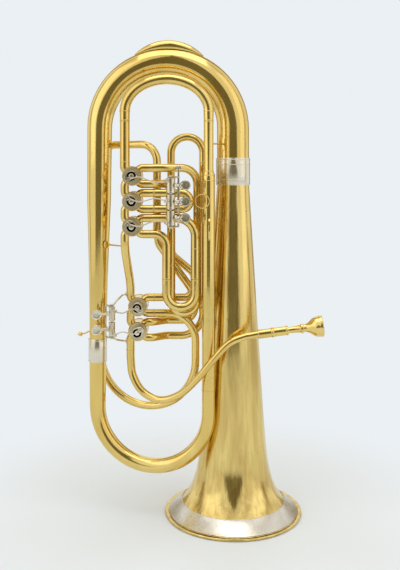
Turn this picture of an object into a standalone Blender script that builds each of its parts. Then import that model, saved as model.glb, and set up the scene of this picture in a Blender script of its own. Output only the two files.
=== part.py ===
# A five-valve rotary tuba that stands on its bell.
# Lengths below are millimetres; MM turns them into metres when a mesh is made.
# Local frame: the bell's axis is x = 0, y = 0, the bell's rim is z = 0, and the front is -y.

import math

import bmesh
import bpy
from mathutils import Matrix, Vector

MM = 0.001
FIT = 0.3
JOINT_GAP = 0.45
WALL = 1.0

# Bell, its ferrule and its garland
BELL_TOP = 644.0
BELL_RADIUS_AT_FERRULE = 30.7
BELL_TAPER = 0.0621
BELL_FLARE = 60.4
BELL_FLARE_HEIGHT = 32.5
BELL_WALL = 1.3
RIM_WIRE_RADIUS = 2.4
BELL_SIDES = 24
GARLAND_HEIGHTS = (6.0, 12.0, 18.0, 24.0)
BELL_HEIGHTS = (3.8, *GARLAND_HEIGHTS, 36.0, 56.0, 90.0, 150.0, 260.0, 430.0, BELL_TOP - FIT)
GARLAND_THICKNESS = 0.7
BELL_FERRULE_BOTTOM = 618.5
BELL_FERRULE_TOP = 669.8
BELL_FERRULE_RADIUS = 32.4

# Top bow and left branch, one taper from the bell to the bottom-bow ferrule
TOP_BOW_RADIUS = 126.6
TOP_BOW_CENTRE_Z = 725.0
TOP_BOW_END_RADIUS = 30.7
TOP_BOW_LEFT_RADIUS = 23.4
LEFT_BRANCH_END_RADIUS = 15.9
LEFT_BRANCH_TAPER = ((590.0, 22.6), (523.5, 20.2), (438.0, 17.6), (330.0, 15.9))
TOP_BOW_WALL = 1.2
LEFT_BRANCH_LEAN = 3.8
BOW_STEPS = 10
BOW_SIDES = 12
BOW_FERRULE_TOP = 327.6
BOW_FERRULE_BOTTOM = 283.9
BOW_FERRULE_RADIUS = 17.5

# Guard on the top bow
GUARD_HALF_ANGLE = 15.5
GUARD_HEIGHT = 15.6
GUARD_WRAP = 62.0

# Third branch, bottom bow and main tuning slide
FRONT_Y = -52.0
THIRD_BRANCH_X = -47.0
THIRD_BRANCH_BOTTOM = 241.7
THIRD_BRANCH_TOP = 636.0
THIRD_BRANCH_RADIUS = 12.2
BOTTOM_BOW_CENTRE_Z = 200.3
BOTTOM_BOW_LEFT_RADIUS = 15.9
BOTTOM_BOW_RIGHT_RADIUS = 12.0
SLEEVE_RADIUS = 8.9
SLEEVE_BORE = 8.0
SLEEVE_TOP = 737.0
TUNING_BOW_BASE = 755.0
TUNING_BOW_RISE = 58.5
TUNING_BOW_RADIUS = 9.4
TUNING_LEG_RADIUS = 7.1
TUNING_LEG_LENGTH = 62.0

# Rotary valves
CASING_RADIUS = 17.0
CASING_WALL = 1.7
CASING_LENGTH = 40.0
CASING_SIDES = 12
CASING_FRONT_WALL = 3.0
ROTOR_CLEARANCE = 0.2
ROTOR_RADIUS = (CASING_RADIUS - CASING_WALL) * math.cos(math.pi / CASING_SIDES) - ROTOR_CLEARANCE
WINDWAY_RADIUS = 5.6
SPINDLE_RADIUS = 3.0
HUB_RADIUS = 8.7
HUB_FRONT = 14.0
CRANK_RADIUS = 8.0
CRANK_PIN_RADIUS = 1.5
CRANK_PIN_LENGTH = 4.0
REAR_CAP_THICKNESS = 6.0
UPPER_VALVE_X = -186.0
UPPER_VALVE_TOP_Z = 636.0
LOWER_VALVE_X = -178.4
LOWER_VALVE_TOP_Z = 393.0
LOWER_Y = -17.0
VALVE_PITCH = 46.0
KNUCKLE_BEND = 9.0
VALVE_TUBE_RADIUS = 7.7
SLIDE_LEG_RADIUS = 5.7
TUBE_SIDES = 8
BEND_STEP = 34.0

# Valve slides: where their legs stand and where each slide leaves its fixed tubes
SLIDE_1_Y = -34.5
SLIDE_1_LEFT_X = -116.2
SLIDE_1_RIGHT_X = -67.7
SLIDE_1_JOINT_Z = 470.0
SLIDE_1_BOW_Z = 406.3
SLIDE_2_JOINT_X = -147.0
SLIDE_2_BOW_X = -96.1
SLIDE_2_LEG = 16.0
PULL_RING_RADIUS = 12.7
PULL_RING_CLEARANCE = 0.9
PULL_RING_WIRE = 0.9
SLIDE_3_LEFT_X = -123.8
SLIDE_3_RIGHT_X = -71.3
SLIDE_3_RADIUS = 8.5
SLIDE_3_JOINT_Z = 447.0
SLIDE_3_DROP = 25.8
RISER_X = -255.0
RISER_Y = 38.0
SLIDE_4_X = -143.7
SLIDE_4_Y = -14.0
SLIDE_4_JOINT_Z = 645.0
SLIDE_4_TOP = 695.5
LOOP_4_X = -71.2
LOOP_4_CENTRE_Z = 288.4
SLIDE_5_Y = 2.5
SLIDE_5_LEFT_X = -117.9
SLIDE_5_RIGHT_X = -57.0
SLIDE_5_JOINT_Z = 660.0
SLIDE_5_BOW_Z = 679.4
LOOP_RADIUS = 7.5
CROSSOVER_TOP = 503.0
CROSSOVER_BOTTOM = 432.0
CROSSOVER_BEND = 60.0
SLIDE_LEG = 50.0
SHORT_SLIDE_LEG = 40.0

# Leadpipe, receiver and mouthpiece
LEADPIPE_RADIUS = 6.4
LEADPIPE_VALVE_RADIUS = 7.9
LEADPIPE_DROP_Z = 296.0
RECEIVER_START = Vector((43.3, -70.0, 349.2))
MOUTHPIECE_RISE = 7.6
RECEIVER_LENGTH = 54.0
RECEIVER_RADIUS = 8.1
RECEIVER_SOCKET = 26.0
SHANK_RADIUS = 5.5
SHANK_INSERT = 20.0
MOUTHPIECE_RIM_RADIUS = 19.3

# Levers, drums and links
UPPER_AXLE_X = -115.9
UPPER_AXLE_Y = -69.0
UPPER_LEVER_Z = (619.4, 590.0, 560.6)
UPPER_DRUM_RADIUS = 8.4
UPPER_DRUM_HEIGHT = 25.5
LOWER_AXLE_X = -226.4
LOWER_AXLE_Y = -33.0
LOWER_LEVER_Z = (380.4, 352.0)
LOWER_DRUM_RADIUS = 5.8
LOWER_DRUM_HEIGHT = 25.0
DRUM_WALL = 0.9
AXLE_RADIUS = 2.0
TOUCH_REACH = 27.0
TOUCH_FORWARD = 14.0
TOUCH_RADIUS = 9.2
CRANK_REACH_X = 8.0
CRANK_REACH_Y = -20.5
FRAME_THICKNESS = 3.0


def clear_scene():
    for item in list(bpy.data.objects):
        bpy.data.objects.remove(item, do_unlink=True)


def metal(name, colour, roughness):
    finish = bpy.data.materials.new(name)
    finish.use_nodes = True
    shader = finish.node_tree.nodes["Principled BSDF"]
    shader.inputs["Base Color"].default_value = (*colour, 1.0)
    shader.inputs["Metallic"].default_value = 1.0
    shader.inputs["Roughness"].default_value = roughness
    return finish


clear_scene()
BRASS = metal("lacquered_brass", (0.78, 0.56, 0.22), 0.22)
SILVER = metal("nickel_silver", (0.74, 0.72, 0.66), 0.28)
STEEL = metal("spring_steel", (0.35, 0.36, 0.38), 0.4)
ROOT = bpy.data.objects.new("tuba", None)
bpy.context.collection.objects.link(ROOT)


def add_object(name, mesh_builder, finish, pivot=(0.0, 0.0, 0.0)):
    """Turns a bmesh in millimetres into an object whose origin is the pivot."""
    pivot = Vector(pivot)
    bmesh.ops.translate(mesh_builder, verts=mesh_builder.verts, vec=-pivot)
    bmesh.ops.scale(mesh_builder, verts=mesh_builder.verts, vec=(MM, MM, MM))
    bmesh.ops.recalc_face_normals(mesh_builder, faces=mesh_builder.faces)
    mesh = bpy.data.meshes.new(name)
    mesh_builder.to_mesh(mesh)
    mesh_builder.free()
    mesh.materials.append(finish)
    mesh.shade_smooth()
    mesh.set_sharp_from_angle(angle=math.radians(40))
    item = bpy.data.objects.new(name, mesh)
    item.location = pivot * MM
    item.parent = ROOT
    bpy.context.collection.objects.link(item)
    return item


def combine(target, operand, operation):
    """Adds a Boolean whose operand is hidden and isn't part of the model."""
    operand.hide_render = True
    operand.display_type = "WIRE"
    modifier = target.modifiers.new(operand.name, "BOOLEAN")
    modifier.operation = operation
    modifier.solver = "EXACT"
    modifier.object = operand
    return target


def cut(target, operand):
    return combine(target, operand, "DIFFERENCE")


def join(target, operand):
    return combine(target, operand, "UNION")


def rounded(points, bends):
    """Replaces each inner corner of a route by an arc of its bend radius."""
    points = [Vector(p) for p in points]
    route = [points[0]]
    for before, corner, after, bend in zip(points, points[1:], points[2:], bends):
        inward = (before - corner).normalized()
        outward = (after - corner).normalized()
        turn = math.pi - inward.angle(outward)
        if turn < 0.01 or bend <= 0.0:
            route.append(corner)
            continue
        back = bend * math.tan(turn / 2)
        centre = corner + (inward + outward).normalized() * bend / math.cos(turn / 2)
        start = corner + inward * back - centre
        axis = inward.cross(outward).normalized() * -1.0
        steps = max(2, round(math.degrees(turn) / BEND_STEP))
        for step in range(steps + 1):
            route.append(centre + Matrix.Rotation(turn * step / steps, 3, axis) @ start)
    route.append(points[-1])
    return route


def smooth_route(points, steps):
    """A Catmull-Rom curve through the points."""
    points = [Vector(p) for p in points]
    padded = [points[0] * 2 - points[1]] + points + [points[-1] * 2 - points[-2]]
    route = []
    for a, b, c, d in zip(padded, padded[1:], padded[2:], padded[3:]):
        for step in range(steps):
            t = step / steps
            route.append(
                0.5 * (2 * b + (c - a) * t + (2 * a - 5 * b + 4 * c - d) * t ** 2
                       + (3 * b - a - 3 * c + d) * t ** 3)
            )
    route.append(points[-1])
    return route


def route_frames(route):
    """Tangent and two cross directions at each point, carried along without twist."""
    tangents = []
    for index in range(len(route)):
        ahead = route[min(index + 1, len(route) - 1)]
        behind = route[max(index - 1, 0)]
        here = route[index]
        forward = (ahead - here).normalized() if index < len(route) - 1 else Vector()
        back = (here - behind).normalized() if index > 0 else Vector()
        tangents.append((forward + back).normalized())
    seed = Vector((0, 1, 0)) if abs(tangents[0].y) < 0.9 else Vector((1, 0, 0))
    side = (seed - tangents[0] * seed.dot(tangents[0])).normalized()
    frames = []
    for tangent in tangents:
        side = (side - tangent * side.dot(tangent)).normalized()
        frames.append((tangent, side, tangent.cross(side)))
    return frames


def ring(builder, centre, side, other, radius, sides, stretch=1.0):
    verts = []
    for index in range(sides):
        angle = 2 * math.pi * (index + 0.5) / sides
        offset = side * math.cos(angle) + other * math.sin(angle) * stretch
        verts.append(builder.verts.new(centre + offset * radius))
    return verts


def bridge(builder, first, second):
    count = len(first)
    for index in range(count):
        after = (index + 1) % count
        builder.faces.new((first[index], first[after], second[after], second[index]))


def along(route):
    """Share of the route's length at each of its points."""
    lengths = [0.0]
    for a, b in zip(route, route[1:]):
        lengths.append(lengths[-1] + (b - a).length)
    return [length / lengths[-1] for length in lengths]


def tube_mesh(route, radius, wall=WALL, sides=TUBE_SIDES):
    """A hollow tube, open at both ends, or a solid bar where wall is None."""
    route = [Vector(p) for p in route]
    shares = along(route)
    radii = [radius(share) if callable(radius) else radius for share in shares]
    builder = bmesh.new()
    outer = []
    inner = []
    for point, (_, side, other), size in zip(route, route_frames(route), radii):
        outer.append(ring(builder, point, side, other, size, sides))
        if wall is not None:
            inner.append(ring(builder, point, side, other, size - wall, sides))
    for a, b in zip(outer, outer[1:]):
        bridge(builder, a, b)
    if wall is None:
        builder.faces.new(outer[0])
        builder.faces.new(outer[-1])
        return builder
    for a, b in zip(inner, inner[1:]):
        bridge(builder, b, a)
    bridge(builder, inner[0], outer[0])
    bridge(builder, outer[-1], inner[-1])
    return builder


def stepped_tube_mesh(stations, sides=TUBE_SIDES):
    """A tube along (point, outer radius, inner radius) stations."""
    route = [Vector(point) for point, _, _ in stations]
    builder = bmesh.new()
    outer = []
    inner = []
    for (_, size, hole), point, (_, side, other) in zip(stations, route, route_frames(route)):
        outer.append(ring(builder, point, side, other, size, sides))
        inner.append(ring(builder, point, side, other, hole, sides))
    for a, b in zip(outer, outer[1:]):
        bridge(builder, a, b)
    for a, b in zip(inner, inner[1:]):
        bridge(builder, b, a)
    bridge(builder, inner[0], outer[0])
    bridge(builder, outer[-1], inner[-1])
    return builder


def turned_mesh(profile, centre, axis, sides):
    """Turns a closed (distance along axis, radius) outline; radius 0 closes on the axis."""
    axis = Vector(axis).normalized()
    centre = Vector(centre)
    seed = Vector((0, 0, 1)) if abs(axis.z) < 0.9 else Vector((1, 0, 0))
    side = (seed - axis * seed.dot(axis)).normalized()
    other = axis.cross(side)
    builder = bmesh.new()
    rings = []
    for along_axis, radius in profile:
        point = centre + axis * along_axis
        if radius <= 0.0:
            rings.append([builder.verts.new(point)])
        else:
            rings.append(ring(builder, point, side, other, radius, sides))
    closed = profile[0][1] > 0.0
    pairs = list(zip(rings, rings[1:]))
    if closed:
        pairs.append((rings[-1], rings[0]))
    for a, b in pairs:
        if len(a) == 1 and len(b) == 1:
            continue
        if len(a) == 1 or len(b) == 1:
            tip, edge = (a[0], b) if len(a) == 1 else (b[0], a)
            for index in range(sides):
                builder.faces.new((tip, edge[index], edge[(index + 1) % sides]))
        else:
            bridge(builder, a, b)
    return builder


def disc_mesh(centre, axis, radius, thickness, sides):
    """A plain disc that starts at centre and grows along axis."""
    return turned_mesh([(0, 0), (0, radius), (thickness, radius), (thickness, 0)],
                       centre, axis, sides)


def box_mesh(low, high):
    builder = bmesh.new()
    bmesh.ops.create_cube(builder, size=1.0)
    low = Vector(low)
    high = Vector(high)
    bmesh.ops.scale(builder, verts=builder.verts, vec=high - low)
    bmesh.ops.translate(builder, verts=builder.verts, vec=(low + high) / 2)
    return builder


def bar_mesh(start, end, width, thickness):
    """A flat bar between two points at one height, upright in z by its thickness."""
    start = Vector(start)
    end = Vector(end)
    run = (end - start).normalized()
    across = Vector((-run.y, run.x, 0.0)).normalized() * width / 2
    up = Vector((0, 0, thickness / 2))
    builder = bmesh.new()
    corners = [start - across, end - across, end + across, start + across]
    low = [builder.verts.new(corner - up) for corner in corners]
    high = [builder.verts.new(corner + up) for corner in corners]
    bridge(builder, low, high)
    builder.faces.new(low)
    builder.faces.new(high)
    return builder


def bell_radius(z):
    """Outer radius of the bell: a slow cone with an exponential flare at its rim."""
    cone = BELL_RADIUS_AT_FERRULE + BELL_TAPER * (BELL_FERRULE_BOTTOM - z)
    return cone + BELL_FLARE * math.exp(-z / BELL_FLARE_HEIGHT)


def make_bell():
    outside = [(z, bell_radius(z)) for z in reversed(BELL_HEIGHTS)]
    wire_centre = bell_radius(RIM_WIRE_RADIUS) + RIM_WIRE_RADIUS * 0.6
    wire = []
    for degrees in (45, 0, -45, -80, -110, -150):
        angle = math.radians(degrees)
        z = RIM_WIRE_RADIUS + RIM_WIRE_RADIUS * math.sin(angle) * 1.1
        wire.append((max(z, 0.0), wire_centre + RIM_WIRE_RADIUS * math.cos(angle)))
    inside = [(z, bell_radius(z) - BELL_WALL - BELL_WALL * 1.2 * math.exp(-z / BELL_FLARE_HEIGHT))
              for z in BELL_HEIGHTS]
    profile = outside + wire + inside
    return add_object("bell", turned_mesh(profile, (0, 0, 0), (0, 0, 1), BELL_SIDES), BRASS)


def make_garland():

    def skin(z, lift):
        slope = BELL_TAPER + BELL_FLARE / BELL_FLARE_HEIGHT * math.exp(-z / BELL_FLARE_HEIGHT)
        return bell_radius(z) + lift * math.hypot(1.0, slope)

    inner = [(z, skin(z, FIT + 0.1)) for z in GARLAND_HEIGHTS]
    outer = [(z, skin(z, FIT + 0.1 + GARLAND_THICKNESS)) for z in reversed(GARLAND_HEIGHTS)]
    return add_object("bell_garland", turned_mesh(inner + outer, (0, 0, 0), (0, 0, 1), BELL_SIDES),
                      SILVER)


def sleeve_profile(bottom, top, inner, outer, bead):
    """A ferrule: a thin sleeve with a raised bead near each end."""
    edge = 3.0
    return [
        (bottom, inner), (top, inner), (top, outer), (top - edge, outer), (top - edge - 1, outer + bead),
        (top - edge - 2, outer), (bottom + edge + 2, outer), (bottom + edge + 1, outer + bead),
        (bottom + edge, outer), (bottom, outer),
    ]


def make_ferrules():
    bow_side = TOP_BOW_END_RADIUS + 2 * FIT
    profile = sleeve_profile(BELL_FERRULE_BOTTOM, BELL_FERRULE_TOP, bow_side, BELL_FERRULE_RADIUS, 0.5)
    add_object("bell_ferrule", turned_mesh(profile, (0, 0, 0), (0, 0, 1), BELL_SIDES), SILVER)
    inner = BOTTOM_BOW_LEFT_RADIUS + 2.5 * FIT
    profile = sleeve_profile(BOW_FERRULE_BOTTOM, BOW_FERRULE_TOP, inner, BOW_FERRULE_RADIUS, 0.4)
    centre = (-2 * TOP_BOW_RADIUS - LEFT_BRANCH_LEAN, 0, 0)
    add_object("bottom_bow_ferrule", turned_mesh(profile, centre, (0, 0, 1), 16), SILVER)


def top_bow_radius(angle):
    """Outer radius of the bow, from the bell's side at 0 degrees to the left at 180."""
    return TOP_BOW_END_RADIUS + (TOP_BOW_LEFT_RADIUS - TOP_BOW_END_RADIUS) * angle / 180.0


def left_branch_x(z):
    share = (TOP_BOW_CENTRE_Z - z) / (TOP_BOW_CENTRE_Z - BOW_FERRULE_BOTTOM)
    return -2 * TOP_BOW_RADIUS - LEFT_BRANCH_LEAN * share


def top_bow_stations():
    """Places and radii from the bell ferrule round the bow and down the left branch."""
    stations = [((0.0, 0.0, BELL_TOP), TOP_BOW_END_RADIUS)]
    for step in range(BOW_STEPS + 1):
        degrees = 180.0 * step / BOW_STEPS
        angle = math.radians(degrees)
        place = (-TOP_BOW_RADIUS * (1 - math.cos(angle)), 0.0,
                 TOP_BOW_CENTRE_Z + TOP_BOW_RADIUS * math.sin(angle))
        stations.append((place, top_bow_radius(degrees)))
    for z, radius in LEFT_BRANCH_TAPER:
        stations.append(((left_branch_x(z), 0.0, z), radius))
    end = (BOW_FERRULE_TOP + BOW_FERRULE_BOTTOM) / 2 + FIT
    stations.append(((left_branch_x(end), 0.0, end), LEFT_BRANCH_END_RADIUS))
    return [(place, radius, radius - TOP_BOW_WALL) for place, radius in stations]


def make_top_bow():
    bow = add_object("top_bow", stepped_tube_mesh(top_bow_stations(), BOW_SIDES), BRASS)
    hook_z = BOW_FERRULE_TOP + 6.0
    branch_x = -2 * TOP_BOW_RADIUS - LEFT_BRANCH_LEAN
    ball = Vector((branch_x - 34.0, 8.0, hook_z))
    rod = rounded([(branch_x - 12.0, 9.5, hook_z + 8), (branch_x - 26.0, 8.0, hook_z + 1), ball], [8])
    join(bow, add_object("thumb_hook_rod", tube_mesh(rod, 1.5, None, 6), BRASS))
    knob = [(-4, 0), (-2.6, 3.4), (0, 4.4), (2.6, 3.4), (4, 0)]
    join(bow, add_object("thumb_hook_ball", turned_mesh(knob, ball, (1, 0, 0), 8), BRASS))
    return bow


def make_bow_guard():
    """A long dome that saddles the crown of the top bow."""
    stations = 7
    wraps = 7
    builder = bmesh.new()
    outer = []
    inner = []
    centre = Vector((-TOP_BOW_RADIUS, 0, TOP_BOW_CENTRE_Z))
    tube = top_bow_radius(90) + 0.8
    for station in range(stations):
        share = 2 * station / (stations - 1) - 1
        angle = math.radians(GUARD_HALF_ANGLE) * share
        radial = Vector((math.sin(angle), 0, math.cos(angle)))
        axis_point = centre + radial * TOP_BOW_RADIUS
        wrap = GUARD_WRAP * math.sqrt(max(0.0, 1 - 0.82 * share ** 2))
        outer_row = []
        inner_row = []
        for step in range(wraps):
            side = 2 * step / (wraps - 1) - 1
            theta = math.radians(wrap) * side
            out = radial * math.cos(theta) + Vector((0, 1, 0)) * math.sin(theta)
            rise = 1.0 + (GUARD_HEIGHT - 1.0) * (1 - share ** 2) * (1 - side ** 2)
            inner_row.append(builder.verts.new(axis_point + out * tube))
            outer_row.append(builder.verts.new(axis_point + out * (tube + rise)))
        outer.append(outer_row)
        inner.append(inner_row)
    for a, b, c, d in zip(outer, outer[1:], inner, inner[1:]):
        for step in range(wraps - 1):
            builder.faces.new((a[step], a[step + 1], b[step + 1], b[step]))
            builder.faces.new((c[step], d[step], d[step + 1], c[step + 1]))
        builder.faces.new((a[0], b[0], d[0], c[0]))
        builder.faces.new((a[-1], c[-1], d[-1], b[-1]))
    for outer_row, inner_row in ((outer[0], inner[0]), (outer[-1], inner[-1])):
        for step in range(wraps - 1):
            builder.faces.new((outer_row[step], inner_row[step], inner_row[step + 1],
                               outer_row[step + 1]))
    return add_object("bow_guard", builder, BRASS)


def make_bottom_bow():
    left = -2 * TOP_BOW_RADIUS - LEFT_BRANCH_LEAN
    middle = (BOW_FERRULE_TOP + BOW_FERRULE_BOTTOM) / 2
    route = [Vector((left, 0, middle - FIT / 2)), Vector((left, 0, BOW_FERRULE_BOTTOM - 2))]
    radius = (THIRD_BRANCH_X - left) / 2
    for step in range(BOW_STEPS + 1):
        angle = math.pi * step / BOW_STEPS
        share = step / BOW_STEPS
        route.append(Vector((left + radius - radius * math.cos(angle),
                             FRONT_Y * (3 * share ** 2 - 2 * share ** 3),
                             BOTTOM_BOW_CENTRE_Z - radius * math.sin(angle))))
    route.append(Vector((THIRD_BRANCH_X, FRONT_Y, THIRD_BRANCH_BOTTOM - FIT)))
    start = BOTTOM_BOW_LEFT_RADIUS
    change = BOTTOM_BOW_RIGHT_RADIUS - start
    return add_object("bottom_bow", tube_mesh(route, lambda s: start + change * s, WALL, 10), BRASS)


def column(x, y, stations, sides=TUBE_SIDES):
    """An upright stepped tube from (height, outer radius, inner radius) stations."""
    return stepped_tube_mesh([((x, y, z), outer, inner) for z, outer, inner in stations], sides=sides)


def make_third_branch():
    top = THIRD_BRANCH_TOP
    big = THIRD_BRANCH_RADIUS
    bore = SLEEVE_BORE
    stations = [
        (THIRD_BRANCH_BOTTOM, big, big - WALL), (top - 4, big - 0.3, big - 0.3 - WALL),
        (top - 3.5, big + 0.4, big - 1.5), (top, big + 0.4, bore + 1.5),
        (top + 4, SLEEVE_RADIUS, bore), (SLEEVE_TOP - 4, SLEEVE_RADIUS, bore),
        (SLEEVE_TOP - 3.5, SLEEVE_RADIUS + 0.4, bore), (SLEEVE_TOP, SLEEVE_RADIUS + 0.4, bore),
    ]
    branch = add_object("third_branch", column(THIRD_BRANCH_X, FRONT_Y, stations, 10), BRASS)
    thumb = [(-1.6, 7.0), (-1.6, 9.2), (1.6, 9.2), (1.6, 7.0)]
    loop = turned_mesh(thumb, (THIRD_BRANCH_X + 1, FRONT_Y - big - 7.8, 539.0), (1, 0, 0), 14)
    bmesh.ops.scale(loop, vec=(1, 1, 2.2), verts=loop.verts,
                    space=Matrix.Translation((0, 0, -539.0)))
    join(branch, add_object("thumb_ring", loop, BRASS))
    stay_z = 647.0 + 26 * 1.87
    target = Vector((0.0, 0.0, stay_z))
    start = Vector((THIRD_BRANCH_X + SLEEVE_RADIUS * 0.55, FRONT_Y + SLEEVE_RADIUS * 0.62, stay_z))
    run = (target - start).normalized()
    reach = target - run * (TOP_BOW_END_RADIUS + 0.6)
    join(branch, add_object("right_stay", tube_mesh([start, reach], 1.5, None, 8), BRASS))
    return branch


def make_tuning_slide():
    left = UPPER_VALVE_X - port_offset()
    right = THIRD_BRANCH_X
    centre_x = (left + right) / 2
    half = (right - left) / 2
    bore = TUNING_LEG_RADIUS - WALL
    step = 0.4
    rest = SLEEVE_TOP + FIT
    rise = [(rest - TUNING_LEG_LENGTH, TUNING_LEG_RADIUS, bore), (rest, TUNING_LEG_RADIUS, bore),
            (rest + step, SLEEVE_RADIUS, bore), (TUNING_BOW_BASE - 3, SLEEVE_RADIUS, bore),
            (TUNING_BOW_BASE - 2.5, SLEEVE_RADIUS + 0.5, bore)]
    stations = [((left, FRONT_Y, z), outer, inner) for z, outer, inner in rise]
    count = BOW_STEPS
    for index in range(count + 1):
        angle = math.pi * index / count
        point = (centre_x - half * math.cos(angle), FRONT_Y,
                 TUNING_BOW_BASE + TUNING_BOW_RISE * math.sin(angle))
        stations.append((point, TUNING_BOW_RADIUS, TUNING_BOW_RADIUS - WALL))
    stations += [((right, FRONT_Y, z), outer, inner) for z, outer, inner in reversed(rise)]
    pivot = (centre_x, FRONT_Y, TUNING_BOW_BASE)
    return add_object("main_tuning_slide", stepped_tube_mesh(stations), BRASS, pivot)


def port_offset():
    """How far a knuckle's tube runs from its valve's axis."""
    return CASING_RADIUS * math.sqrt(0.5) + KNUCKLE_BEND * (1 - math.sqrt(0.5))


def valve_centre(number):
    """Centre of valve 1 to 5: three upper valves, then two lower ones."""
    if number <= 3:
        return Vector((UPPER_VALVE_X, FRONT_Y, UPPER_VALVE_TOP_Z - VALVE_PITCH * (number - 1)))
    return Vector((LOWER_VALVE_X, LOWER_Y, LOWER_VALVE_TOP_Z - VALVE_PITCH * (number - 4)))


def port_start(number, right, up):
    """Two route points: inside the casing wall, and the knuckle's corner."""
    centre = valve_centre(number)
    toward = Vector((right, 0, up))
    return [centre + toward * math.sqrt(0.5) * (CASING_RADIUS - 1.2), centre + toward * port_offset()]


def casing_cutter(number, name):
    """A drum just larger than a casing, which seats a tube's end on it."""
    centre = valve_centre(number)
    start = centre - Vector((0, CASING_LENGTH, 0))
    builder = disc_mesh(start, (0, 1, 0), CASING_RADIUS + FIT, 2 * CASING_LENGTH, CASING_SIDES)
    return add_object(name, builder, BRASS)


def make_casing(number):
    """Casing with the knuckles that are soldered to it, and its four ports."""
    centre = valve_centre(number)
    front = centre - Vector((0, CASING_LENGTH / 2, 0))
    label = f"valve_casing_{number}"
    hole = SPINDLE_RADIUS + FIT
    inside = CASING_RADIUS - CASING_WALL
    profile = [(0, hole), (0, CASING_RADIUS + 0.8), (4, CASING_RADIUS + 0.8), (4.5, CASING_RADIUS),
               (CASING_LENGTH, CASING_RADIUS), (CASING_LENGTH, inside), (CASING_FRONT_WALL, inside),
               (CASING_FRONT_WALL, hole)]
    casing = add_object(label, turned_mesh(profile, front, (0, 1, 0), CASING_SIDES), BRASS)
    knuckles = []
    offset = port_offset()
    if number == 1:
        top = SLEEVE_TOP
        route = port_start(1, -1, 1) + [(centre.x - offset, FRONT_Y, top)]
        knuckles.append((rounded(route, [KNUCKLE_BEND]), SLEEVE_RADIUS, SLEEVE_BORE))
    if number in (1, 2, 4):
        below = port_start(number + 1, -1, 1)
        route = port_start(number, -1, -1) + [below[1], below[0]]
        knuckles.append((rounded(route, [KNUCKLE_BEND, KNUCKLE_BEND]), VALVE_TUBE_RADIUS,
                         VALVE_TUBE_RADIUS - WALL))
    if number == 2:
        for up in (1, -1):
            end = centre + Vector((0, 0, up * offset))
            end.x = SLIDE_2_JOINT_X
            route = port_start(2, 1, up) + [end]
            knuckles.append((rounded(route, [KNUCKLE_BEND]), VALVE_TUBE_RADIUS, VALVE_TUBE_RADIUS - WALL))
    for index, (route, outer, _) in enumerate(knuckles):
        join(casing, add_object(f"{label}_knuckle_{index}", tube_mesh(route, outer, None), BRASS))
    for index, (route, _, inner) in enumerate(knuckles):
        start = route[0] - (route[1] - route[0]).normalized() * 2.0
        past = route[-1] + (route[-1] - route[-2]).normalized() * 2.0
        bore = [start] + list(route[1:-1]) + [past]
        cut(casing, add_object(f"{label}_bore_{index}", tube_mesh(bore, inner, None, 8), BRASS))
    drilled = {1: [(1, 1), (1, -1)], 2: [(-1, 1)], 4: [(-1, 1), (1, 1), (1, -1)]}
    every_port = [(-1, 1), (-1, -1), (1, 1), (1, -1)]
    for right, up in drilled.get(number, every_port):
        toward = Vector((right, 0, up)).normalized()
        start = centre + toward * (CASING_RADIUS - 6)
        hole = tube_mesh([start, start + toward * 12], WINDWAY_RADIUS, None, 8)
        cut(casing, add_object(f"{label}_port_{right}_{up}", hole, BRASS))
    if number in (1, 2, 4):
        cut(casing, casing_cutter(number + 1, f"{label}_seat"))
    return casing


def make_rotor(number):
    """Rotor body with two bent windways, spindles, hub and crank pin."""
    centre = valve_centre(number)
    front = centre - Vector((0, CASING_LENGTH / 2, 0))
    back = CASING_LENGTH - 3.4
    label = f"rotor_{number}"
    body_front = CASING_FRONT_WALL + 0.4
    profile = [
        (-HUB_FRONT, 0), (-HUB_FRONT, HUB_RADIUS), (-0.6, HUB_RADIUS), (-0.6, SPINDLE_RADIUS),
        (body_front, SPINDLE_RADIUS), (body_front, ROTOR_RADIUS), (back, ROTOR_RADIUS),
        (back, SPINDLE_RADIUS), (back + 5, SPINDLE_RADIUS), (back + 5, 0),
    ]
    rotor = add_object(label, turned_mesh(profile, front, (0, 1, 0), CASING_SIDES), SILVER, centre)
    far = ROTOR_RADIUS * math.sqrt(2)
    for side in (-1, 1):
        middle = centre + Vector((side * far, 0, 0))
        route = []
        for step in range(5):
            angle = math.radians(-52 + 104 * step / 4)
            route.append(middle + Vector((-side * ROTOR_RADIUS * math.cos(angle), 0,
                                          ROTOR_RADIUS * math.sin(angle))))
        cut(rotor, add_object(f"{label}_windway_{side}", tube_mesh(route, WINDWAY_RADIUS, None, 6), SILVER))
    toward = crank_direction(number)
    start = front + toward * CRANK_RADIUS * math.sqrt(0.5) - Vector((0, HUB_FRONT - 1, 0))
    pin = disc_mesh(start, (0, -1, 0), CRANK_PIN_RADIUS, CRANK_PIN_LENGTH + 1, 6)
    join(rotor, add_object(f"{label}_pin", pin, SILVER))
    return rotor


def crank_direction(number):
    """Where the crank pin rests, seen from the front: valve 1 below its hub, the rest above."""
    if number <= 3:
        return Vector((-1, 0, -1 if number == 1 else 1))
    return Vector((1, 0, -1 if number == 4 else 1))


def make_rear_cap(number):
    centre = valve_centre(number)
    back = centre + Vector((0, CASING_LENGTH / 2, 0))
    plug = CASING_RADIUS - CASING_WALL - FIT
    hole = SPINDLE_RADIUS + FIT
    dome = REAR_CAP_THICKNESS
    profile = [
        (-3.0, hole), (-3.0, plug), (FIT, plug), (FIT, CASING_RADIUS + 0.8), (dome - 1.5, CASING_RADIUS + 0.8),
        (dome, CASING_RADIUS - 2), (dome + 1.2, 6), (dome + 1.2, 0), (3.0, 0), (3.0, hole),
    ]
    ordered = profile[8:] + profile[:8]
    return add_object(f"rear_cap_{number}", turned_mesh(ordered, back, (0, 1, 0), CASING_SIDES), BRASS)


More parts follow.
